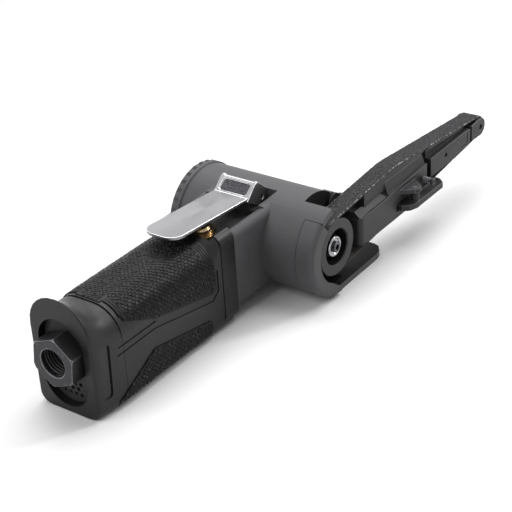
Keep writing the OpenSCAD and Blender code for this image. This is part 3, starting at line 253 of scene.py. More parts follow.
def abrasive(name):
    """Aluminium oxide grit bonded on cloth, about 60 grit: dark resin with paler crystals that glint.
    Where the cut edge is frayed, bare cloth shows."""
    material, tree, shader = start(name, "#2c2b2c", 0.6, Specular_IOR_Level=0.2)
    spot = add(tree, "ShaderNodeTexCoord").outputs["Object"]
    crystals = add(tree, "ShaderNodeTexVoronoi", links={"Vector": spot}, Scale=1 / (CRYSTAL * MM))
    each = add(tree, "ShaderNodeSeparateColor", links={"Color": crystals.outputs["Color"]}).outputs["Red"]
    body = mix_colour(tree, ramp(tree, each, 0.6, 1.0), "#131214", "#464548")
    across = add(tree, "ShaderNodeSeparateXYZ", links={"Vector": spot}).outputs["Y"]
    right, left = -BELT_Y - BELT_W / 2, -BELT_Y + BELT_W / 2
    on_right = ramp(tree, across, (right + CUT_FULL) * MM, (right + CUT_GONE) * MM, 1, 0)
    on_left = ramp(tree, across, (left - CUT_GONE) * MM, (left - CUT_FULL) * MM)
    bare = ramp(tree, speckle(tree, 1.7, detail=4, roughness=0.75), 0.5, 0.62)
    frayed = reckon(tree, "MULTIPLY", reckon(tree, "ADD", on_right, on_left), bare)
    body = mix_colour(tree, frayed, body, "#b0afad")
    feed(tree, shader, body, ramp(tree, each, 0.0, 1.0, 0.42, 0.85))
    relief(tree, shader, crystals.outputs["Distance"], 0.18, 0.8)
    return material


def cloth(name):
    """Polyester backing of the belt: fine weave, resin-stained."""
    material, tree, shader = start(name, "#57524d", 0.85)
    threads = add(tree, "ShaderNodeTexWave", {"wave_type": "BANDS", "bands_direction": "Y"},
                  {"Vector": add(tree, "ShaderNodeTexCoord").outputs["Object"]},
                  Scale=1 / (WEAVE * MM) / 2, Distortion=0.4)
    stain = speckle(tree, 2, detail=4)
    feed(tree, shader, mix_colour(tree, ramp(tree, stain, 0.3, 0.7), "#252321", "#45413c"))
    relief(tree, shader, threads.outputs["Fac"], 0.06)
    return material


# Each finish and what it gives the eye
# Housing: mid-grey matte skin whose pimples break up the lamp's reflection
HOUSING = powder_coat("powder_coated_aluminium", "#505052", "#616163", "#48484a", 0.55)
# The cap's rounded edges are paler: partly rubbed wear, partly a painted highlight
HOUSING_EDGE = powder_coat("housing_edge_wear_and_highlight", "#59595b", "#6b6b6d", "#505052", 0.5)
PULLEY = powder_coat("powder_coated_pulley", "#353537", "#444446", "#2e2e30", 0.5)
# Insides: painted shade, near black in the recesses round the pulley and at the arm's rear end, a little
# lighter inside the guard and on its foot
SHADE = powder_coat("painted_recess_shade", "#101011", "#18181a", "#0b0b0c", 0.75, gloss=0.15)
# Painted shade for the guard's inside and the top of its foot, a little lighter than the recesses round the
# pulley
GUARD_SHADE = powder_coat("painted_guard_shade", "#141415", "#1e1e1f", "#0f0f10", 0.62, gloss=0.16)
# Arm: coarser, darker paint, paler on its edges, partly from wear and partly as a painted highlight
CAST = powder_coat("black_painted_cast_aluminium", "#2a2a2b", "#3b3b3d", "#232324", 0.48, 0.5, 0.07, 0.28)
ARM = powder_coat("satin_painted_arm_casting", "#333334", "#464648", "#2b2b2c", 0.46, 0.5, 0.07, 0.3)
CAST_EDGE = powder_coat("cast_edge_wear_and_highlight", "#56565a", "#707075", "#444448", 0.38, 0.5, 0.04)
# Handle: satin black skin with soft lights along its curves
SLEEVE = moulded("moulded_nylon", "#171718", "#212123", 0.36)
PANEL = moulded("polished_nylon_panel", "#0f0f10", "#171718", 0.26, 0.4, 0.01)
COVER = moulded("moulded_exhaust_cover", "#333234", "#403f43", 0.5)
# Pads: near black with a sheen that catches on the scales' rims; seals: the same without the gloss
PAD = rubber("thermoplastic_rubber", "#09090a", "#131314", 0.32)
SEAL = rubber("nitrile_rubber", "#19191a", "#262627", 0.6)
GASKET = rubber("grey_gasket_rubber", "#3c3c3e", "#4a4a4c", 0.6)
# Bare steels: long scratches on the pressed lever, dull mottled floor in its recess
STEEL_X = brushed("brushed_stainless_steel", "#8f8e90", "#828183", 0.38, (0.02, 1, 1))
STEEL_Y = brushed("ground_steel", "#b0b1b4", "#919296", 0.3, (1, 0.03, 1))
# The lever's rounded edges are far paler than its face: a painted highlight
STEEL_EDGE = brushed("steel_edge_painted_highlight", "#e6e6e8", "#c8c8cb", 0.24, (0.02, 1, 1))
DULL_STEEL = brushed("etched_steel", "#56565a", "#2b2b2d", 0.5, (1, 1, 1), 0.7, 0.12, 0.0)
DARK_STEEL = brushed("blued_steel", "#4b4b4e", "#2c2c2f", 0.4, (0.02, 1, 1))
SPRING = brushed("spring_steel", "#8d8d90", "#606063", 0.3, (1, 1, 1), 0.4)
# Brass: amber with pale lights and brown stain; plated and oxidised steels: bright or oily dark
BRASS = turned_metal("turned_brass", "#bba582", "#6f5b42", 0.24, "z")
CHROME = turned_metal("bright_zinc_plate", "#b4b4b7", "#77777a", 0.14, "y")
SOCKET = turned_metal("zinc_plated_screw", "#66666a", "#2d2d30", 0.2, "y")
OXIDE = blackened("black_oxide_steel", "#3a3a3c", "#656569", 0.42)
# Paler oxide for rounded edges, partly rubbed wear and partly a painted highlight; the tracking spring is
# wound in it as well
OXIDE_EDGE = blackened("oxide_edge_wear_and_highlight", "#8a8a8d", "#c2c2c5", 0.3)
# Belt: dark resin with pale crystals, frayed cloth at its edge
GRIT = abrasive("aluminium_oxide_grit")
BACKING = cloth("belt_backing_cloth")
# Inner pieces: brown vanes, pale porous silencer
VANE = moulded("cotton_phenolic", "#6b4a2c", "#83603c", 0.5)
SINTER = powder_coat("sintered_polyethylene", "#5c5953", "#77736b", "#4a4741", 0.8, 0.6, 0.2)

FINISH = {
    "motor_housing": HOUSING, "motor_cap": HOUSING, "belt_guard": HOUSING, "drive_pulley": PULLEY,
    "handle_sleeve": SLEEVE, "exhaust_cover": COVER, "exhaust_silencer": SINTER,
    "top_grip_pad": PAD, "right_upper_pad": PAD, "left_upper_pad": PAD, "right_lower_pad": PAD,
    "left_lower_pad": PAD, "inlet_bushing": OXIDE, "inlet_screen": STEEL_Y,
    "valve_bushing": BRASS, "valve_stem": BRASS, "valve_seal": SEAL, "valve_spring": SPRING,
    "throttle_lever": STEEL_X, "lever_pin": OXIDE, "cap_seal": GASKET, "cylinder_liner": STEEL_Y,
    "rear_end_plate": CAST, "front_end_plate": CAST, "rear_bearing": STEEL_Y, "front_bearing": STEEL_Y,
    "shaft_seal": SEAL, "rotor": STEEL_Y, "rotor_vanes": VANE, "pulley_washer": CHROME,
    "pulley_screw": SOCKET, "guard_screws": OXIDE, "arm_body": ARM, "arm_screws": OXIDE,
    "contact_platen": DARK_STEEL, "slide_arm": CAST, "slide_platen": DARK_STEEL, "tension_spring": SPRING,
    "tip_fork": CAST, "fork_pin": STEEL_Y, "tip_axle": OXIDE, "tip_roller": OXIDE, "tip_bearing": STEEL_Y,
    "sanding_belt": GRIT, "latch_lever": CAST, "latch_pin": STEEL_Y, "tracking_screw": OXIDE,
    "tracking_spring": SPRING,
}


def paint(piece, *materials):
    """Gives a piece these materials and no others. It comes before faces are told which is theirs."""
    piece.data.materials.clear()
    for material in materials:
        piece.data.materials.append(material)


for node_name, solid in frame["nodes"].items():
    paint(solid, FINISH[node_name])

BODY = {n: body for body, members in frame["record"]["behaviour"]["bodies"].items() for n in members}


# Mesh helpers
def piece_from(name, mesh):
    """An object in the scene for a mesh."""
    made = bpy.data.objects.new(name, mesh)
    scene.collection.objects.link(made)
    return made


def settle(piece):
    """Replaces a piece's live modifiers by their result."""
    bpy.context.view_layer.update()
    graph = bpy.context.evaluated_depsgraph_get()
    mesh = bpy.data.meshes.new_from_object(piece.evaluated_get(graph), depsgraph=graph)
    mesh.name = piece.name
    made = piece_from(piece.name + "_done", mesh)
    name = piece.name
    bpy.data.objects.remove(piece)
    made.name = name
    return made


def attach(piece, like, *stands_for):
    """Rides with the body of the CAD node like, and stands for the nodes named."""
    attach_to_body(piece, BODY[like])
    if stands_for:
        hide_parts(*stands_for)


# Corners closer than this are one, and faces that bend less than this are one
WELD, FLAT_ANGLE = 0.004, 0.6


def welded(node):
    """A bmesh copy of a CAD node, its corners merged and its flat faces made whole."""
    bm = bmesh.new()
    bm.from_mesh(frame["nodes"][node].data)
    bmesh.ops.remove_doubles(bm, verts=bm.verts, dist=WELD * MM)
    bmesh.ops.dissolve_limit(bm, angle_limit=math.radians(FLAT_ANGLE), verts=bm.verts, edges=bm.edges)
    bm.normal_update()
    return bm


# Rounded edges
# Pieces rounded to the full width, and how short a sliver left by a cut is to be closed up first, mm
SLIVERS = {"throttle_lever": 0.27, "arm_body": 0.15, "slide_arm": 0.06, "tip_fork": 0.06, "latch_lever": 0.06}
# Places of the finishes of a rounded piece: its own is at 0, then come its edges' and its inside's
EDGE, INNER = 1, 2


def rounded(node, name, width_mm, edge=None, angle=28, steps=2, inner=None, inside=None, change=None):
    """The CAD node with its sharp edges rounded, as a casting or moulding has them.
    Faces for which inside(centre in mm from the motor's axis, normal) holds get the finish inner."""
    bm = welded(node)
    if node in SLIVERS:
        bmesh.ops.remove_doubles(bm, verts=bm.verts, dist=SLIVERS[node] * MM)
        bmesh.ops.dissolve_degenerate(bm, dist=SLIVERS[node] * MM, edges=bm.edges)
        bm.normal_update()
    if change:
        change(bm)
    if inside:
        for face in bm.faces:
            if inside(face.calc_center_median() / MM - MOTOR, face.normal):
                face.material_index = INNER
    mesh = bpy.data.meshes.new(name)
    piece = piece_from(name, mesh)
    paint(piece, FINISH[node], edge or FINISH[node], inner or FINISH[node])
    bm.to_mesh(mesh)
    bm.free()
    mesh.shade_smooth()
    bevel = piece.modifiers.new("rounding", "BEVEL")
    bevel.width = width_mm * MM
    bevel.segments = steps
    bevel.limit_method = "ANGLE"
    bevel.angle_limit = math.radians(angle)
    bevel.use_clamp_overlap = node not in SLIVERS
    bevel.material = EDGE
    bevel.harden_normals = False
    weight = piece.modifiers.new("shading", "WEIGHTED_NORMAL")
    weight.keep_sharp = False
    weight.weight = 80
    attach(settle(piece), node, node)


# Least share of a wall's normal that points at the motor's axis, where the wall is said to face it
TOWARDS = 0.5
# Bounds of the surfaces that have a colour of their own, mm from the motor's axis: painted shade in the
# housing's chamber, at the arm's rear end, in the pulley's dish and in the guard with its foot, and a finish
# of their own on the label's floor and the lever's web. What ends in UP or FLAT is the least share of a
# face's normal that points up, or to the side
CHAMBER_Y, CHAMBER_R = -31.4, 20.6
MOUTH_X, MOUTH_Y = 16, -35.5
LABEL_X, LABEL_DEPTH, LABEL_NEAR, LABEL_FLAT = -112, 0.9, 0.06, 0.98
HUB_RIGHT, HUB_LEFT, HUB_R = -43.9, -34.5, 8.8
WEB_REAR, WEB_FRONT, WEB_HALF, WEB_UP = -18, -12, 6, 0.5
# The lever's web climbs from its kink; its sunk floor lies below this line
KINK_X, KINK_Z, WEB_CLIMB = -18.5, 23.85, 0.71
FOOT_X, FOOT_Z, FOOT_UP = 3, -15, 0.6


def faces_axis(at, facing):
    """A wall that looks in at the motor's axis."""
    return at.x * facing.x + at.z * facing.z < -TOWARDS * math.hypot(at.x, at.z)


def in_chamber(at, facing):
    """Inside of the housing round the pulley, which gets painted shade."""
    return at.y < CHAMBER_Y and (math.hypot(at.x, at.z) < CHAMBER_R or faces_axis(at, facing))


def in_mouth(at, facing):
    """Rear end of the arm, inside the housing, which gets painted shade."""
    return at.x < MOUTH_X and at.y > MOUTH_Y


def in_label(at, facing):
    """Floor of the bare recess on the handle's right side."""
    on_floor = abs(at.y + HALF_GRIP - LABEL_DEPTH) < LABEL_NEAR
    return at.x < LABEL_X and on_floor and abs(facing.y) > LABEL_FLAT


def in_pulley(at, facing):
    """Dish round the pulley's hub, which gets painted shade."""
    return HUB_RIGHT < at.y < HUB_LEFT and math.hypot(at.x, at.z) < HUB_R


def in_web(at, facing):
    """Sunk floor of the lever's raised web."""
    sunk = at.z < KINK_Z + (at.x - KINK_X) * WEB_CLIMB
    return abs(at.y) < WEB_HALF and WEB_REAR < at.x < WEB_FRONT and facing.z > WEB_UP and sunk


def in_guard(at, facing):
    """Inside of the guard and upper side of its foot, which get painted shade."""
    return faces_axis(at, facing) or (facing.z > FOOT_UP and at.z < FOOT_Z and at.x > FOOT_X)


# Node, piece, width in mm, finish of the edges, least angle, steps, finish of the inside and where that is
ROUNDED = [
    # The dark insides of the housing's chamber, the guard and its foot, the pulley's dish and the arm's rear
    # end are painted shade. The lever's paler edges are a painted highlight, and the paler edges of the cap
    # and the castings are partly wear and partly a painted highlight.
    ("motor_housing", "housing_casting", 0.5, None, 28, 3, SHADE, in_chamber),
    ("motor_cap", "cap_casting", 0.3, HOUSING_EDGE, 30, 2),
    ("belt_guard", "guard_moulding", 0.45, None, 30, 3, GUARD_SHADE, in_guard),
    ("exhaust_cover", "perforated_cover", 0.12, None, 40, 1),
    ("exhaust_silencer", "sintered_silencer", 0.3, None, 30, 2),
    ("throttle_lever", "pressed_lever", 0.22, STEEL_EDGE, 30, 2, DULL_STEEL, in_web),
    ("valve_bushing", "brass_bushing", 0.3, None, 30, 2),
    ("valve_stem", "brass_stem", 0.4, None, 30, 3),
    ("drive_pulley", "belt_pulley", 0.3, None, 30, 2, SHADE, in_pulley),
    ("pulley_washer", "cup_washer", 0.2, None, 30, 2),
    ("pulley_screw", "pulley_bolt", 0.15, None, 30, 2),
    ("arm_body", "arm_casting", 0.2, CAST_EDGE, 28, 2, SHADE, in_mouth),
    ("slide_arm", "slide_casting", 0.2, CAST_EDGE, 28, 2),
    ("tip_fork", "tip_casting", 0.25, CAST_EDGE, 16, 2),
    ("latch_lever", "latch_plate", 0.2, CAST_EDGE, 28, 2),
    ("tracking_screw", "tracking_bolt", 0.12, None, 30, 2),
    ("arm_screws", "arm_bolts", 0.12, None, 30, 1),
    ("guard_screws", "guard_bolts", 0.12, None, 30, 1),
    ("tip_roller", "tip_wheel", 0.2, None, 30, 2),
    ("handle_sleeve", "sleeve_moulding", 0.4, None, 30, 3, PANEL, in_label),
]
for recipe in ROUNDED:
    rounded(*recipe)


# Geometry node trees
def tree_for(name, **sizes):
    """A geometry tree with one named input for each size."""
    tree = bpy.data.node_groups.new(name, "GeometryNodeTree")
    tree.interface.new_socket("Geometry", in_out="INPUT", socket_type="NodeSocketGeometry")
    tree.interface.new_socket("Geometry", in_out="OUTPUT", socket_type="NodeSocketGeometry")
    for label, value in sizes.items():
        tree.interface.new_socket(label, in_out="INPUT", socket_type="NodeSocketFloat").default_value = value
    return tree, tree.nodes.new("NodeGroupInput").outputs, tree.nodes.new("NodeGroupOutput").inputs


def grow(name, points_mesh, tree, **sizes):
    """Runs a tree on a mesh with these sizes and returns the plain mesh object it makes."""
    bare = piece_from(name, points_mesh)
    run = bare.modifiers.new("grow", "NODES")
    run.node_group = tree
    for item in tree.interface.items_tree:
        if item.in_out == "INPUT" and item.name in sizes:
            run[item.identifier] = sizes[item.name]
    return settle(bare)


def end_tree(tree, geometry, result, material, smooth=True):
    """Ends a tree: instances become real faces, smooth where wanted, and get their material."""
    ended = add(tree, "GeometryNodeRealizeInstances", links={"Geometry": geometry})
    if smooth:
        ended = add(tree, "GeometryNodeSetShadeSmooth", links={"Geometry": ended.outputs["Geometry"]})
    ended = add(tree, "GeometryNodeSetMaterial", links={"Geometry": ended.outputs["Geometry"]},
                Material=material)
    tree.links.new(ended.outputs["Geometry"], result["Geometry"])
    return tree


def tube(tree, curve, radius, sides):
    """A round tube along a curve."""
    ring = add(tree, "GeometryNodeCurvePrimitiveCircle", {"mode": "RADIUS"}, {"Radius": radius},
               Resolution=sides)
    return add(tree, "GeometryNodeCurveToMesh",
               links={"Curve": curve, "Profile Curve": ring.outputs["Curve"]}, Fill_Caps=True).outputs["Mesh"]


def random_vector(tree, low, high, seed):
    """A chance vector for each instance, between low and high."""
    return add(tree, "FunctionNodeRandomValue", {"data_type": "FLOAT_VECTOR"},
               Min=low, Max=high, Seed=seed).outputs[0]


def turned(tree, instances, rotation):
    """The instances turned, each about itself."""
    return add(tree, "GeometryNodeRotateInstances",
               links={"Instances": instances, "Rotation": rotation}).outputs["Instances"]


def scale_tree(material):
    """Raised six-sided scales, one on each point, lying on the surface and leaning a little forward."""
    tree, given, result = tree_for("grip_scales", **SCALE)
    cone = add(tree, "GeometryNodeMeshCone", {"fill_type": "NGON"}, {"Depth": given["height"]},
               Vertices=6, Radius_Top=0.66, Radius_Bottom=1.0)
    flat = add(tree, "ShaderNodeCombineXYZ", links={"X": given["half_length"], "Y": given["half_width"]},
               Z=1.0)
    shaped = add(tree, "GeometryNodeTransform",
                 links={"Geometry": cone.outputs["Mesh"], "Scale": flat.outputs[0]})
    normal = add(tree, "GeometryNodeInputNamedAttribute", {"data_type": "FLOAT_VECTOR"}, Name="facing")
    ahead = add(tree, "GeometryNodeInputNamedAttribute", {"data_type": "FLOAT_VECTOR"}, Name="ahead")
    turn = add(tree, "FunctionNodeAxesToRotation", {"primary_axis": "Z", "secondary_axis": "X"},
               {"Primary Axis": normal.outputs[0], "Secondary Axis": ahead.outputs[0]})
    spread = add(tree, "GeometryNodeInstanceOnPoints",
                 links={"Points": given["Geometry"], "Instance": shaped.outputs["Geometry"],
                        "Rotation": turn.outputs["Rotation"]})
    lean = add(tree, "ShaderNodeCombineXYZ", links={"Y": given["lean"]})
    scales = turned(tree, spread.outputs["Instances"], lean.outputs[0])
    scales = turned(tree, scales, random_vector(tree, (-0.05, -0.08, -0.5), (0.05, 0.08, 0.5), seed=4))
    growth = random_vector(tree, (0.74, 0.78, 0.6), (1.06, 1.06, 1.1), seed=9)
    scales = add(tree, "GeometryNodeScaleInstances", links={"Instances": scales, "Scale": growth})
    return end_tree(tree, scales.outputs["Instances"], result, material, smooth=False)


def bead_tree(name, material):
    """A round bead along each chain of edges."""
    tree, given, result = tree_for(name, radius=0.0005)
    line = add(tree, "GeometryNodeMeshToCurve", links={"Mesh": given["Geometry"]})
    return end_tree(tree, tube(tree, line.outputs["Curve"], given["radius"], 10), result, material)


def coil_tree(name, material):
    """A wire wound round +Z, up from the origin."""
    tree, given, result = tree_for(name, turns=6.0, radius=0.002, height=0.01, wire=0.0003)
    coil = add(tree, "GeometryNodeCurveSpiral",
               links={"Rotations": given["turns"], "Start Radius": given["radius"],
                      "End Radius": given["radius"], "Height": given["height"]}, Resolution=28)
    return end_tree(tree, tube(tree, coil.outputs["Curve"], given["wire"], 8), result, material)


def line_mesh(name, chains):
    """Edge chains through the points given, in metres."""
    points, edges = [], []
    for chain in chains:
        first = len(points)
        points += [tuple(p) for p in chain]
        edges += [(first + i, first + i + 1) for i in range(len(chain) - 1)]
    mesh = bpy.data.meshes.new(name)
    mesh.from_pydata(points, edges, [])
    return mesh


# Grip pads
# The grip's section: height of its flat top, radius of its round corners; and how far the pads stand out
GRIP_TOP, TOP_R = 20.8, 13.0
PAD_PROUD = 0.4
FLAT_HALF = HALF_GRIP - TOP_R
ARC = TOP_R * math.pi / 2
# Scales: size in metres and lean in radians; pitch along and round the grip; x of the first column;
# how many rows and columns are tried; how far one strays from its place, and the steps from row to row and
# from column to column in the noise that says so; half of the room that it needs
SCALE = {"half_length": 0.00114, "half_width": 0.001, "height": 0.0003, "lean": 0.05}
PITCH_X, PITCH_S = 2.3, 1.15
FIRST_X, ROWS, COLUMNS = -122, 48, 32
STRAY_X, STRAY_S = 0.5, 0.3
ROW_STEP, COLUMN_STEP = 3.7, 5.3
ROOM = 0.9
# Ribs across the round corners near both ends of the top pad: x of each, the part of the arc where they
# start, the step from point to point, radius and sink; and the strip that the scales leave to them
RIB_ENDS = ((-114.6, -113.3, -112.0), (-59.6, -58.3, -57.0))
RIB_FROM, RIB_STEP, RIB_POINTS = 0.12, 0.048, 11
RIB_R, RIB_SINK = 0.28, 0.1
CLEAR_FROM, CLEAR_TO = 0.06, 0.68
CLEAR_REAR, CLEAR_FRONT = -111.2, -60.4
# A pad is felt for from this far above, over this length
FEEL_FROM, FEEL_LENGTH = 3, 4


def grip_point(x, s, side, lift=0.0):
    """Point on the grip's section, s mm round from the middle of its top, and the way it faces."""
    if s <= FLAT_HALF:
        y, z, ny, nz = s, GRIP_TOP, 0.0, 1.0
    elif s <= FLAT_HALF + ARC:
        a = (s - FLAT_HALF) / TOP_R
        ny, nz = math.sin(a), math.cos(a)
        y, z = FLAT_HALF + TOP_R * ny, GRIP_TOP - TOP_R + TOP_R * nz
    else:
        y, z, ny, nz = HALF_GRIP, GRIP_TOP - TOP_R - (s - FLAT_HALF - ARC), 1.0, 0.0
    return place(x, side * (y + ny * lift), z + nz * lift), Vector((0, side * ny, nz))


def on_pad(surface, point, facing):
    """True if the pad lies under the point and under the four corners of a scale round it."""
    sideways = facing.cross(AHEAD)
    for u, v in ((0, 0), (ROOM, 0), (-ROOM, 0), (0, ROOM), (0, -ROOM)):
        origin = point + (AHEAD * u + sideways * v + facing * FEEL_FROM) * MM
        if surface.ray_cast(origin, -facing, FEEL_LENGTH * MM)[0] is None:
            return False
    return True


def by_ribs(x, s):
    """True on the strips that are left to the ribs."""
    round_corner = FLAT_HALF + ARC * CLEAR_FROM < s < FLAT_HALF + ARC * CLEAR_TO
    return round_corner and (x < CLEAR_REAR or x > CLEAR_FRONT)


def pad_surface(nodes):
    """The CAD surfaces of these nodes together, to be met by rays."""
    bm = bmesh.new()
    for node in nodes:
        bm.from_mesh(frame["nodes"][node].data)
    tree = BVHTree.FromBMesh(bm)
    bm.free()
    return tree


def scale_points(name, nodes, sides):
    """A mesh of bare points where the scales stand, each with the way it faces."""
    surface = pad_surface(nodes)
    points, facings = [], []
    for side in sides:
        for row in range(ROWS):
            # The middle row belongs to both sides and is laid once
            if side > 0 and row == 0 and len(sides) > 1:
                continue
            s = row * PITCH_S
            for column in range(COLUMNS):
                x = FIRST_X + (column + 0.5 * (row % 2)) * PITCH_X
                if by_ribs(x, s):
                    continue
                stray = noise.noise_vector(Vector((row * ROW_STEP, column * COLUMN_STEP, side)))
                point, facing = grip_point(x + STRAY_X * stray.x, s + STRAY_S * stray.y, side, PAD_PROUD)
                if on_pad(surface, point, facing):
                    points.append(point)
                    facings.append(facing)
    mesh = bpy.data.meshes.new(name)
    mesh.from_pydata([tuple(p) for p in points], [], [])
    for label, values in (("facing", facings), ("ahead", [AHEAD] * len(points))):
        store = mesh.attributes.new(label, "FLOAT_VECTOR", "POINT")
        store.data.foreach_set("vector", np.array([tuple(v) for v in values], np.float32).ravel())
    return mesh


def grip(name, pads, sides, tree):
    """The pads' own skins and their scales, as one piece."""
    cells = grow(name, scale_points(name, pads, sides), tree, **SCALE)
    bm = bmesh.new()
    bm.from_mesh(cells.data)
    for pad in pads:
        skin = welded(pad)
        mesh = bpy.data.meshes.new("skin")
        skin.to_mesh(mesh)
        skin.free()
        bm.from_mesh(mesh)
        bpy.data.meshes.remove(mesh)
    bm.to_mesh(cells.data)
    bm.free()
    paint(cells, PAD)
    attach(cells, pads[0], *pads)


def ribs():
    """Short moulded ribs at the pads' corners."""
    chains = []
    for side in (-1, 1):
        for x in RIB_ENDS[0] + RIB_ENDS[1]:
            stops = [FLAT_HALF + ARC * (RIB_FROM + RIB_STEP * i) for i in range(RIB_POINTS)]
            chains.append([grip_point(x, s, side, PAD_PROUD - RIB_SINK)[0] for s in stops])
    made = grow("sleeve_ribs", line_mesh("sleeve_ribs", chains), bead_tree("moulded_bead", PAD),
                radius=RIB_R * MM)
    attach(made, "top_grip_pad")


SCALES = scale_tree(PAD)
grip("upper_grip", ("top_grip_pad", "right_upper_pad", "left_upper_pad"), (-1, 1), SCALES)
grip("right_lower_grip", ("right_lower_pad",), (-1,), SCALES)
grip("left_lower_grip", ("left_lower_pad",), (1,), SCALES)
ribs()

# Sanding belt
# What it runs over: pulley, crest of the arm and tip roller, each with its radius and its centre (x, z)
PULLEY_R, CREST_R, TIP_R = 13.0, 60.0, 4.65
CREST_TOP = 17.0
PULLEY_C, CREST_C, TIP_C = (0.0, 0.0), (52.0, CREST_TOP - CREST_R), (135.2, 5.4)
# Thickness, and the gap under it; length of a face along it, and faces across it
BELT_T, BELT_GAP = 0.9, 0.05
BELT_STEP, BELT_COLUMNS = 0.55, 20
# Height of the grit, how deep its floor lies, and its steps in the noise for each mm; its finer part, as
# many times finer and as high beside the coarse one
GRIT_H, GRIT_SINK, GRIT_STEP = 0.28, 0.2, 1.9
FINER, FINE_PART = 2.3, 0.5
# How far the cut edges are drawn down and in, with a slow and a quick change along them, and the steps of
# both in the noise; and how much narrower the cloth is on each side
EDGE_DROP, EDGE_IN, EDGE_SLOW, EDGE_QUICK = 0.15, 0.1, 0.12, 0.12
SLOW_STEP, QUICK_STEP = 0.13, 0.9
CLOTH_IN = 0.08


def side_angle(a, ra, b, rb, side):
    """Way from a circle's centre to where the straight run to the next circle leaves it."""
    dx, dz = b[0] - a[0], b[1] - a[1]
    return math.atan2(dz, dx) + side * math.acos((ra - rb) / math.hypot(dx, dz))


def belt_line(step):
    """Points and outward directions along the belt's inside, step mm apart."""
    rise = side_angle(PULLEY_C, PULLEY_R, CREST_C, CREST_R, 1)
    fall = side_angle(CREST_C, CREST_R, TIP_C, TIP_R, 1)
    back = side_angle(PULLEY_C, PULLEY_R, TIP_C, TIP_R, -1)
    stations = []
    for c, r, a, b in ((CREST_C, CREST_R, rise, fall), (TIP_C, TIP_R, fall, back),
                       (PULLEY_C, PULLEY_R, back + 2 * math.pi, rise)):
        count = max(2, int(abs(b - a) * r / step))
        for i in range(count + 1):
            angle = a + (b - a) * i / count
            stations.append((c, r, angle))
    line = []
    for (c, r, angle), (c2, r2, angle2) in zip(stations, stations[1:] + stations[:1]):
        p = Vector((c[0] + r * math.cos(angle), c[1] + r * math.sin(angle)))
        q = Vector((c2[0] + r2 * math.cos(angle2), c2[1] + r2 * math.sin(angle2)))
        count = max(1, round((q - p).length / step))
        out = Vector((math.cos(angle), math.sin(angle)))
        out2 = Vector((math.cos(angle2), math.sin(angle2)))
        for i in range(count):
            line.append((p.lerp(q, i / count), out.lerp(out2, i / count).normalized()))
    return line


def belt_ring(k, p, out):
    """One section of the belt: its gritted outside from right to left, then two corners of its cloth."""
    ring = []
    slow = EDGE_SLOW * noise.noise(Vector((k * SLOW_STEP, 0, 0)))
    for i in range(BELT_COLUMNS + 1):
        y = -BELT_Y - BELT_W / 2 + BELT_W * i / BELT_COLUMNS
        spot = Vector((p.x * GRIT_STEP, y * GRIT_STEP, p.y * GRIT_STEP))
        grit = max(0.0, noise.noise(spot) + FINE_PART * noise.noise(spot * FINER)) * GRIT_H
        h = BELT_GAP + BELT_T - GRIT_SINK + grit
        if i in (0, BELT_COLUMNS):
            inward = 1 if i == 0 else -1
            quick = EDGE_QUICK * noise.noise(Vector((k * QUICK_STEP, i, 3)))
            y += inward * (EDGE_IN + abs(slow) + abs(quick))
            h -= EDGE_DROP
        ring.append((p.x + out.x * h, y, p.y + out.y * h))
    for y in (BELT_W / 2 - CLOTH_IN, -BELT_W / 2 + CLOTH_IN):
        ring.append((p.x + out.x * BELT_GAP, -BELT_Y + y, p.y + out.y * BELT_GAP))
    return [place(*v) for v in ring]


def belt():
    """The belt as one closed skin, grit outside and cloth inside."""
    line = belt_line(BELT_STEP)
    verts, faces, kinds = [], [], []
    for k, (p, out) in enumerate(line):
        verts += belt_ring(k, p, out)
    n, size = len(line), BELT_COLUMNS + 3
    for k in range(n):
        a, b = k * size, ((k + 1) % n) * size
        for i in range(size):
            j = (i + 1) % size
            faces.append((a + i, a + j, b + j, b + i))
            kinds.append(0 if i < BELT_COLUMNS else 1)
    mesh = bpy.data.meshes.new("grit_belt")
    mesh.from_pydata([tuple(v) for v in verts], [], faces)
    mesh.shade_smooth()
    made = piece_from("grit_belt", mesh)
    paint(made, GRIT, BACKING)
    mesh.polygons.foreach_set("material_index", kinds)
    bm = bmesh.new()
    bm.from_mesh(mesh)
    bmesh.ops.recalc_face_normals(bm, faces=bm.faces)
    bm.to_mesh(mesh)
    bm.free()
    attach(made, "sanding_belt", "sanding_belt")


belt()

# Air inlet with its thread
# Radius of the bore, of the thread's root and of its ridge; pitch; how far in the thread ends and starts
BORE_R, ROOT_R, RIDGE_R, RIDGE_SINK = 5.9, 6.7, 0.5, 0.1
THREAD_PITCH, THREAD_L, THREAD_START = 1.41, 11.0, 1.0
# The bore's own corners lie this near its radius, and this far past the thread at most
BORE_NEAR, BORE_PAST = 0.06, 1.2


def open_bore(bm):
    """Opens the bore to the thread's root, so that the ridge can stand in it."""
    for v in bm.verts:
        x, y, z = v.co / MM
        r = math.hypot(y, z)
        if abs(r - BORE_R) < BORE_NEAR and x < THREAD_L + BORE_PAST:
            v.co.y *= ROOT_R / BORE_R
            v.co.z *= ROOT_R / BORE_R


def inlet_thread():
    """The thread's ridge, wound along the bore."""
    length = THREAD_L - THREAD_START
    ridge = grow("inlet_thread", line_mesh("inlet_thread", []), coil_tree("thread_ridge", OXIDE),
                 turns=length / THREAD_PITCH, radius=(ROOT_R - RIDGE_SINK) * MM, height=length * MM,
                 wire=RIDGE_R * MM)
    ridge.data.transform(Matrix.Translation(Vector((THREAD_START * MM, 0, 0))) @ Z_TO_AHEAD)
    attach(ridge, "inlet_bushing")


# The hexagon's paler rounded edges are partly rubbed wear, partly a painted highlight
rounded("inlet_bushing", "inlet_hexagon", 0.3, OXIDE_EDGE, 26, 2, change=open_bore)
inlet_thread()

# Springs
# Seat of the tracking spring: its axis, then along it the cheek's face and the screw's head
TRACK_X, TRACK_Z, TRACK_FACE, TRACK_HEAD = 75.0, 1.9, 45.3, 50.4
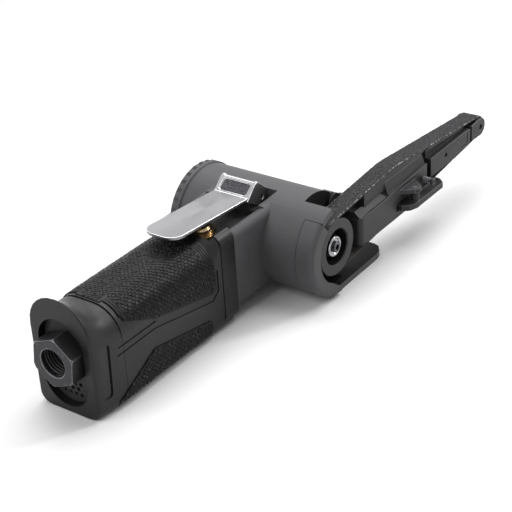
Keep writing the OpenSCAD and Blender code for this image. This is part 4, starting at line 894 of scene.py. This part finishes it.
# Play at each end of the tracking spring, and of the two springs inside
TRACK_PLAY, END_PLAY = 0.25, 0.4


def coil(node, name, turns, radius, height, wire, placed, finish=SPRING):
    """A wound spring in place of its node; radius is that of its winding and wire that of its wire, mm."""
    made = grow(name, line_mesh(name, []), coil_tree(name, finish), turns=turns, radius=radius * MM,
                height=height * MM, wire=wire * MM)
    made.data.transform(placed)
    attach(made, node, node)
    return made


seat = place(TRACK_X, -TRACK_FACE - TRACK_PLAY, TRACK_Z)
coil("tracking_spring", "wound_tracking_spring", turns=5.0, radius=1.33,
     height=TRACK_HEAD - TRACK_FACE - 2 * TRACK_PLAY, wire=0.21,
     placed=Matrix.Translation(seat) @ Z_TO_RIGHT, finish=OXIDE_EDGE)

low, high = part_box("tension_spring")
seat = Vector((low.x + END_PLAY * MM, (low.y + high.y) / 2, (low.z + high.z) / 2))
wound = coil("tension_spring", "wound_tension_spring", turns=11.0, radius=2.0,
             height=(high.x - low.x) / MM - 2 * END_PLAY, wire=0.35,
             placed=Matrix.Translation(seat) @ Z_TO_AHEAD)
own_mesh(wound)

low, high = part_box("valve_spring")
seat = Vector(((low.x + high.x) / 2, (low.y + high.y) / 2, low.z + END_PLAY * MM))
wound = coil("valve_spring", "wound_valve_spring", turns=6.0, radius=2.6,
             height=(high.z - low.z) / MM - 2 * END_PLAY, wire=0.35, placed=Matrix.Translation(seat))
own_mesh(wound)

# Floor and light
# Half of the floor, m; how pale its paper is where it only sheds light, and where it is seen
FLOOR_HALF = 4.0
PAPER_SHED, PAPER_SEEN = 0.62, 0.97
# A place on the floor under the tool, m, and how far from it the paper begins and ends to run out in white
UNDER_X, UNDER_Y, FADE_FROM, FADE_TO = 0.12, -0.03, 0.14, 0.5
# Light from all round
SKY = 0.26
# Lamps: name, place, what each looks at, its size, all in metres, and its watts
LAMPS = [
    ("overhead", (0.58, 0.22, 1.0), (0.14, 0, 0), (1.4, 1.2), 15),
    ("rear_fill", (-0.8, 0.3, 0.9), (0.05, 0, 0), (0.9, 0.7), 6.5),
    ("ridge_strip", (1.1, -0.62, 0.72), (0.08, 0, 0), (0.14, 0.6), 5),
]


def grey(level):
    """RGBA of a neutral grey."""
    return (level, level, level, 1)


def seen_directly(tree):
    """1 where the camera, a mirror or a window looks at the backdrop, 0 where it only sheds light."""
    ray = add(tree, "ShaderNodeLightPath").outputs
    looks = reckon(tree, "MAXIMUM", ray["Is Camera Ray"], ray["Is Glossy Ray"])
    return reckon(tree, "MAXIMUM", looks, ray["Is Transmission Ray"])


def blend(tree, factor, first, second):
    """The first shader where factor is 0 and the second where it is 1."""
    links = {"Fac": factor, 1: first.outputs[0], 2: second.outputs[0]}
    return add(tree, "ShaderNodeMixShader", links=links).outputs[0]


def floor():
    """White paper that catches the tool's shadow, and past it runs out into plain white."""
    z = FLOOR_Z * MM
    corners = [(x * FLOOR_HALF, y * FLOOR_HALF, z) for x, y in ((-1, -1), (1, -1), (1, 1), (-1, 1))]
    mesh = bpy.data.meshes.new("floor")
    mesh.from_pydata(corners, [], [(0, 1, 2, 3)])
    made = piece_from("floor", mesh)
    material = bpy.data.materials.new("studio_floor")
    material.use_nodes = True
    tree = material.node_tree
    tree.nodes.clear()
    paper = add(tree, "ShaderNodeMix", {"data_type": "RGBA"}, {"Factor": seen_directly(tree)},
                A=grey(PAPER_SHED), B=grey(PAPER_SEEN))
    matt = add(tree, "ShaderNodeBsdfDiffuse", links={"Color": paper.outputs["Result"]}, Roughness=0)
    centred = add(tree, "ShaderNodeMapping", {"vector_type": "POINT"},
                  {"Vector": add(tree, "ShaderNodeTexCoord").outputs["Object"]},
                  Location=(-UNDER_X, -UNDER_Y, -FLOOR_Z * MM))
    apart = add(tree, "ShaderNodeVectorMath", {"operation": "LENGTH"}, {0: centred.outputs["Vector"]})
    away = ramp(tree, apart.outputs["Value"], FADE_FROM, FADE_TO)
    white = add(tree, "ShaderNodeEmission", Color=grey(1), Strength=1.0)
    surface = blend(tree, reckon(tree, "MULTIPLY", away, seen_directly(tree)), matt, white)
    add(tree, "ShaderNodeOutputMaterial", links={"Surface": surface})
    paint(made, material)


def sky():
    """Soft light from all round, seen as plain white."""
    world = bpy.data.worlds.new("studio")
    scene.world = world
    world.use_nodes = True
    tree = world.node_tree
    tree.nodes.clear()
    fill = add(tree, "ShaderNodeBackground", Color=grey(1), Strength=SKY)
    white = add(tree, "ShaderNodeBackground", Color=grey(1), Strength=1.0)
    add(tree, "ShaderNodeOutputWorld", links={"Surface": blend(tree, seen_directly(tree), fill, white)})


def lamp(name, spot, aim, size, watts):
    """A rectangular area lamp at spot that looks at aim."""
    data = bpy.data.lights.new(name, "AREA")
    data.shape = "RECTANGLE"
    data.size, data.size_y = size
    data.energy = watts
    holder = bpy.data.objects.new(name, data)
    scene.collection.objects.link(holder)
    look = Vector(aim) - Vector(spot)
    holder.matrix_world = Matrix.Translation(spot) @ look.to_track_quat("-Z", "Y").to_matrix().to_4x4()


camera()
floor()
sky()
for lamp_row in LAMPS:
    lamp(*lamp_row)
scene.view_settings.view_transform = "Standard"

bpy.context.view_layer.update()
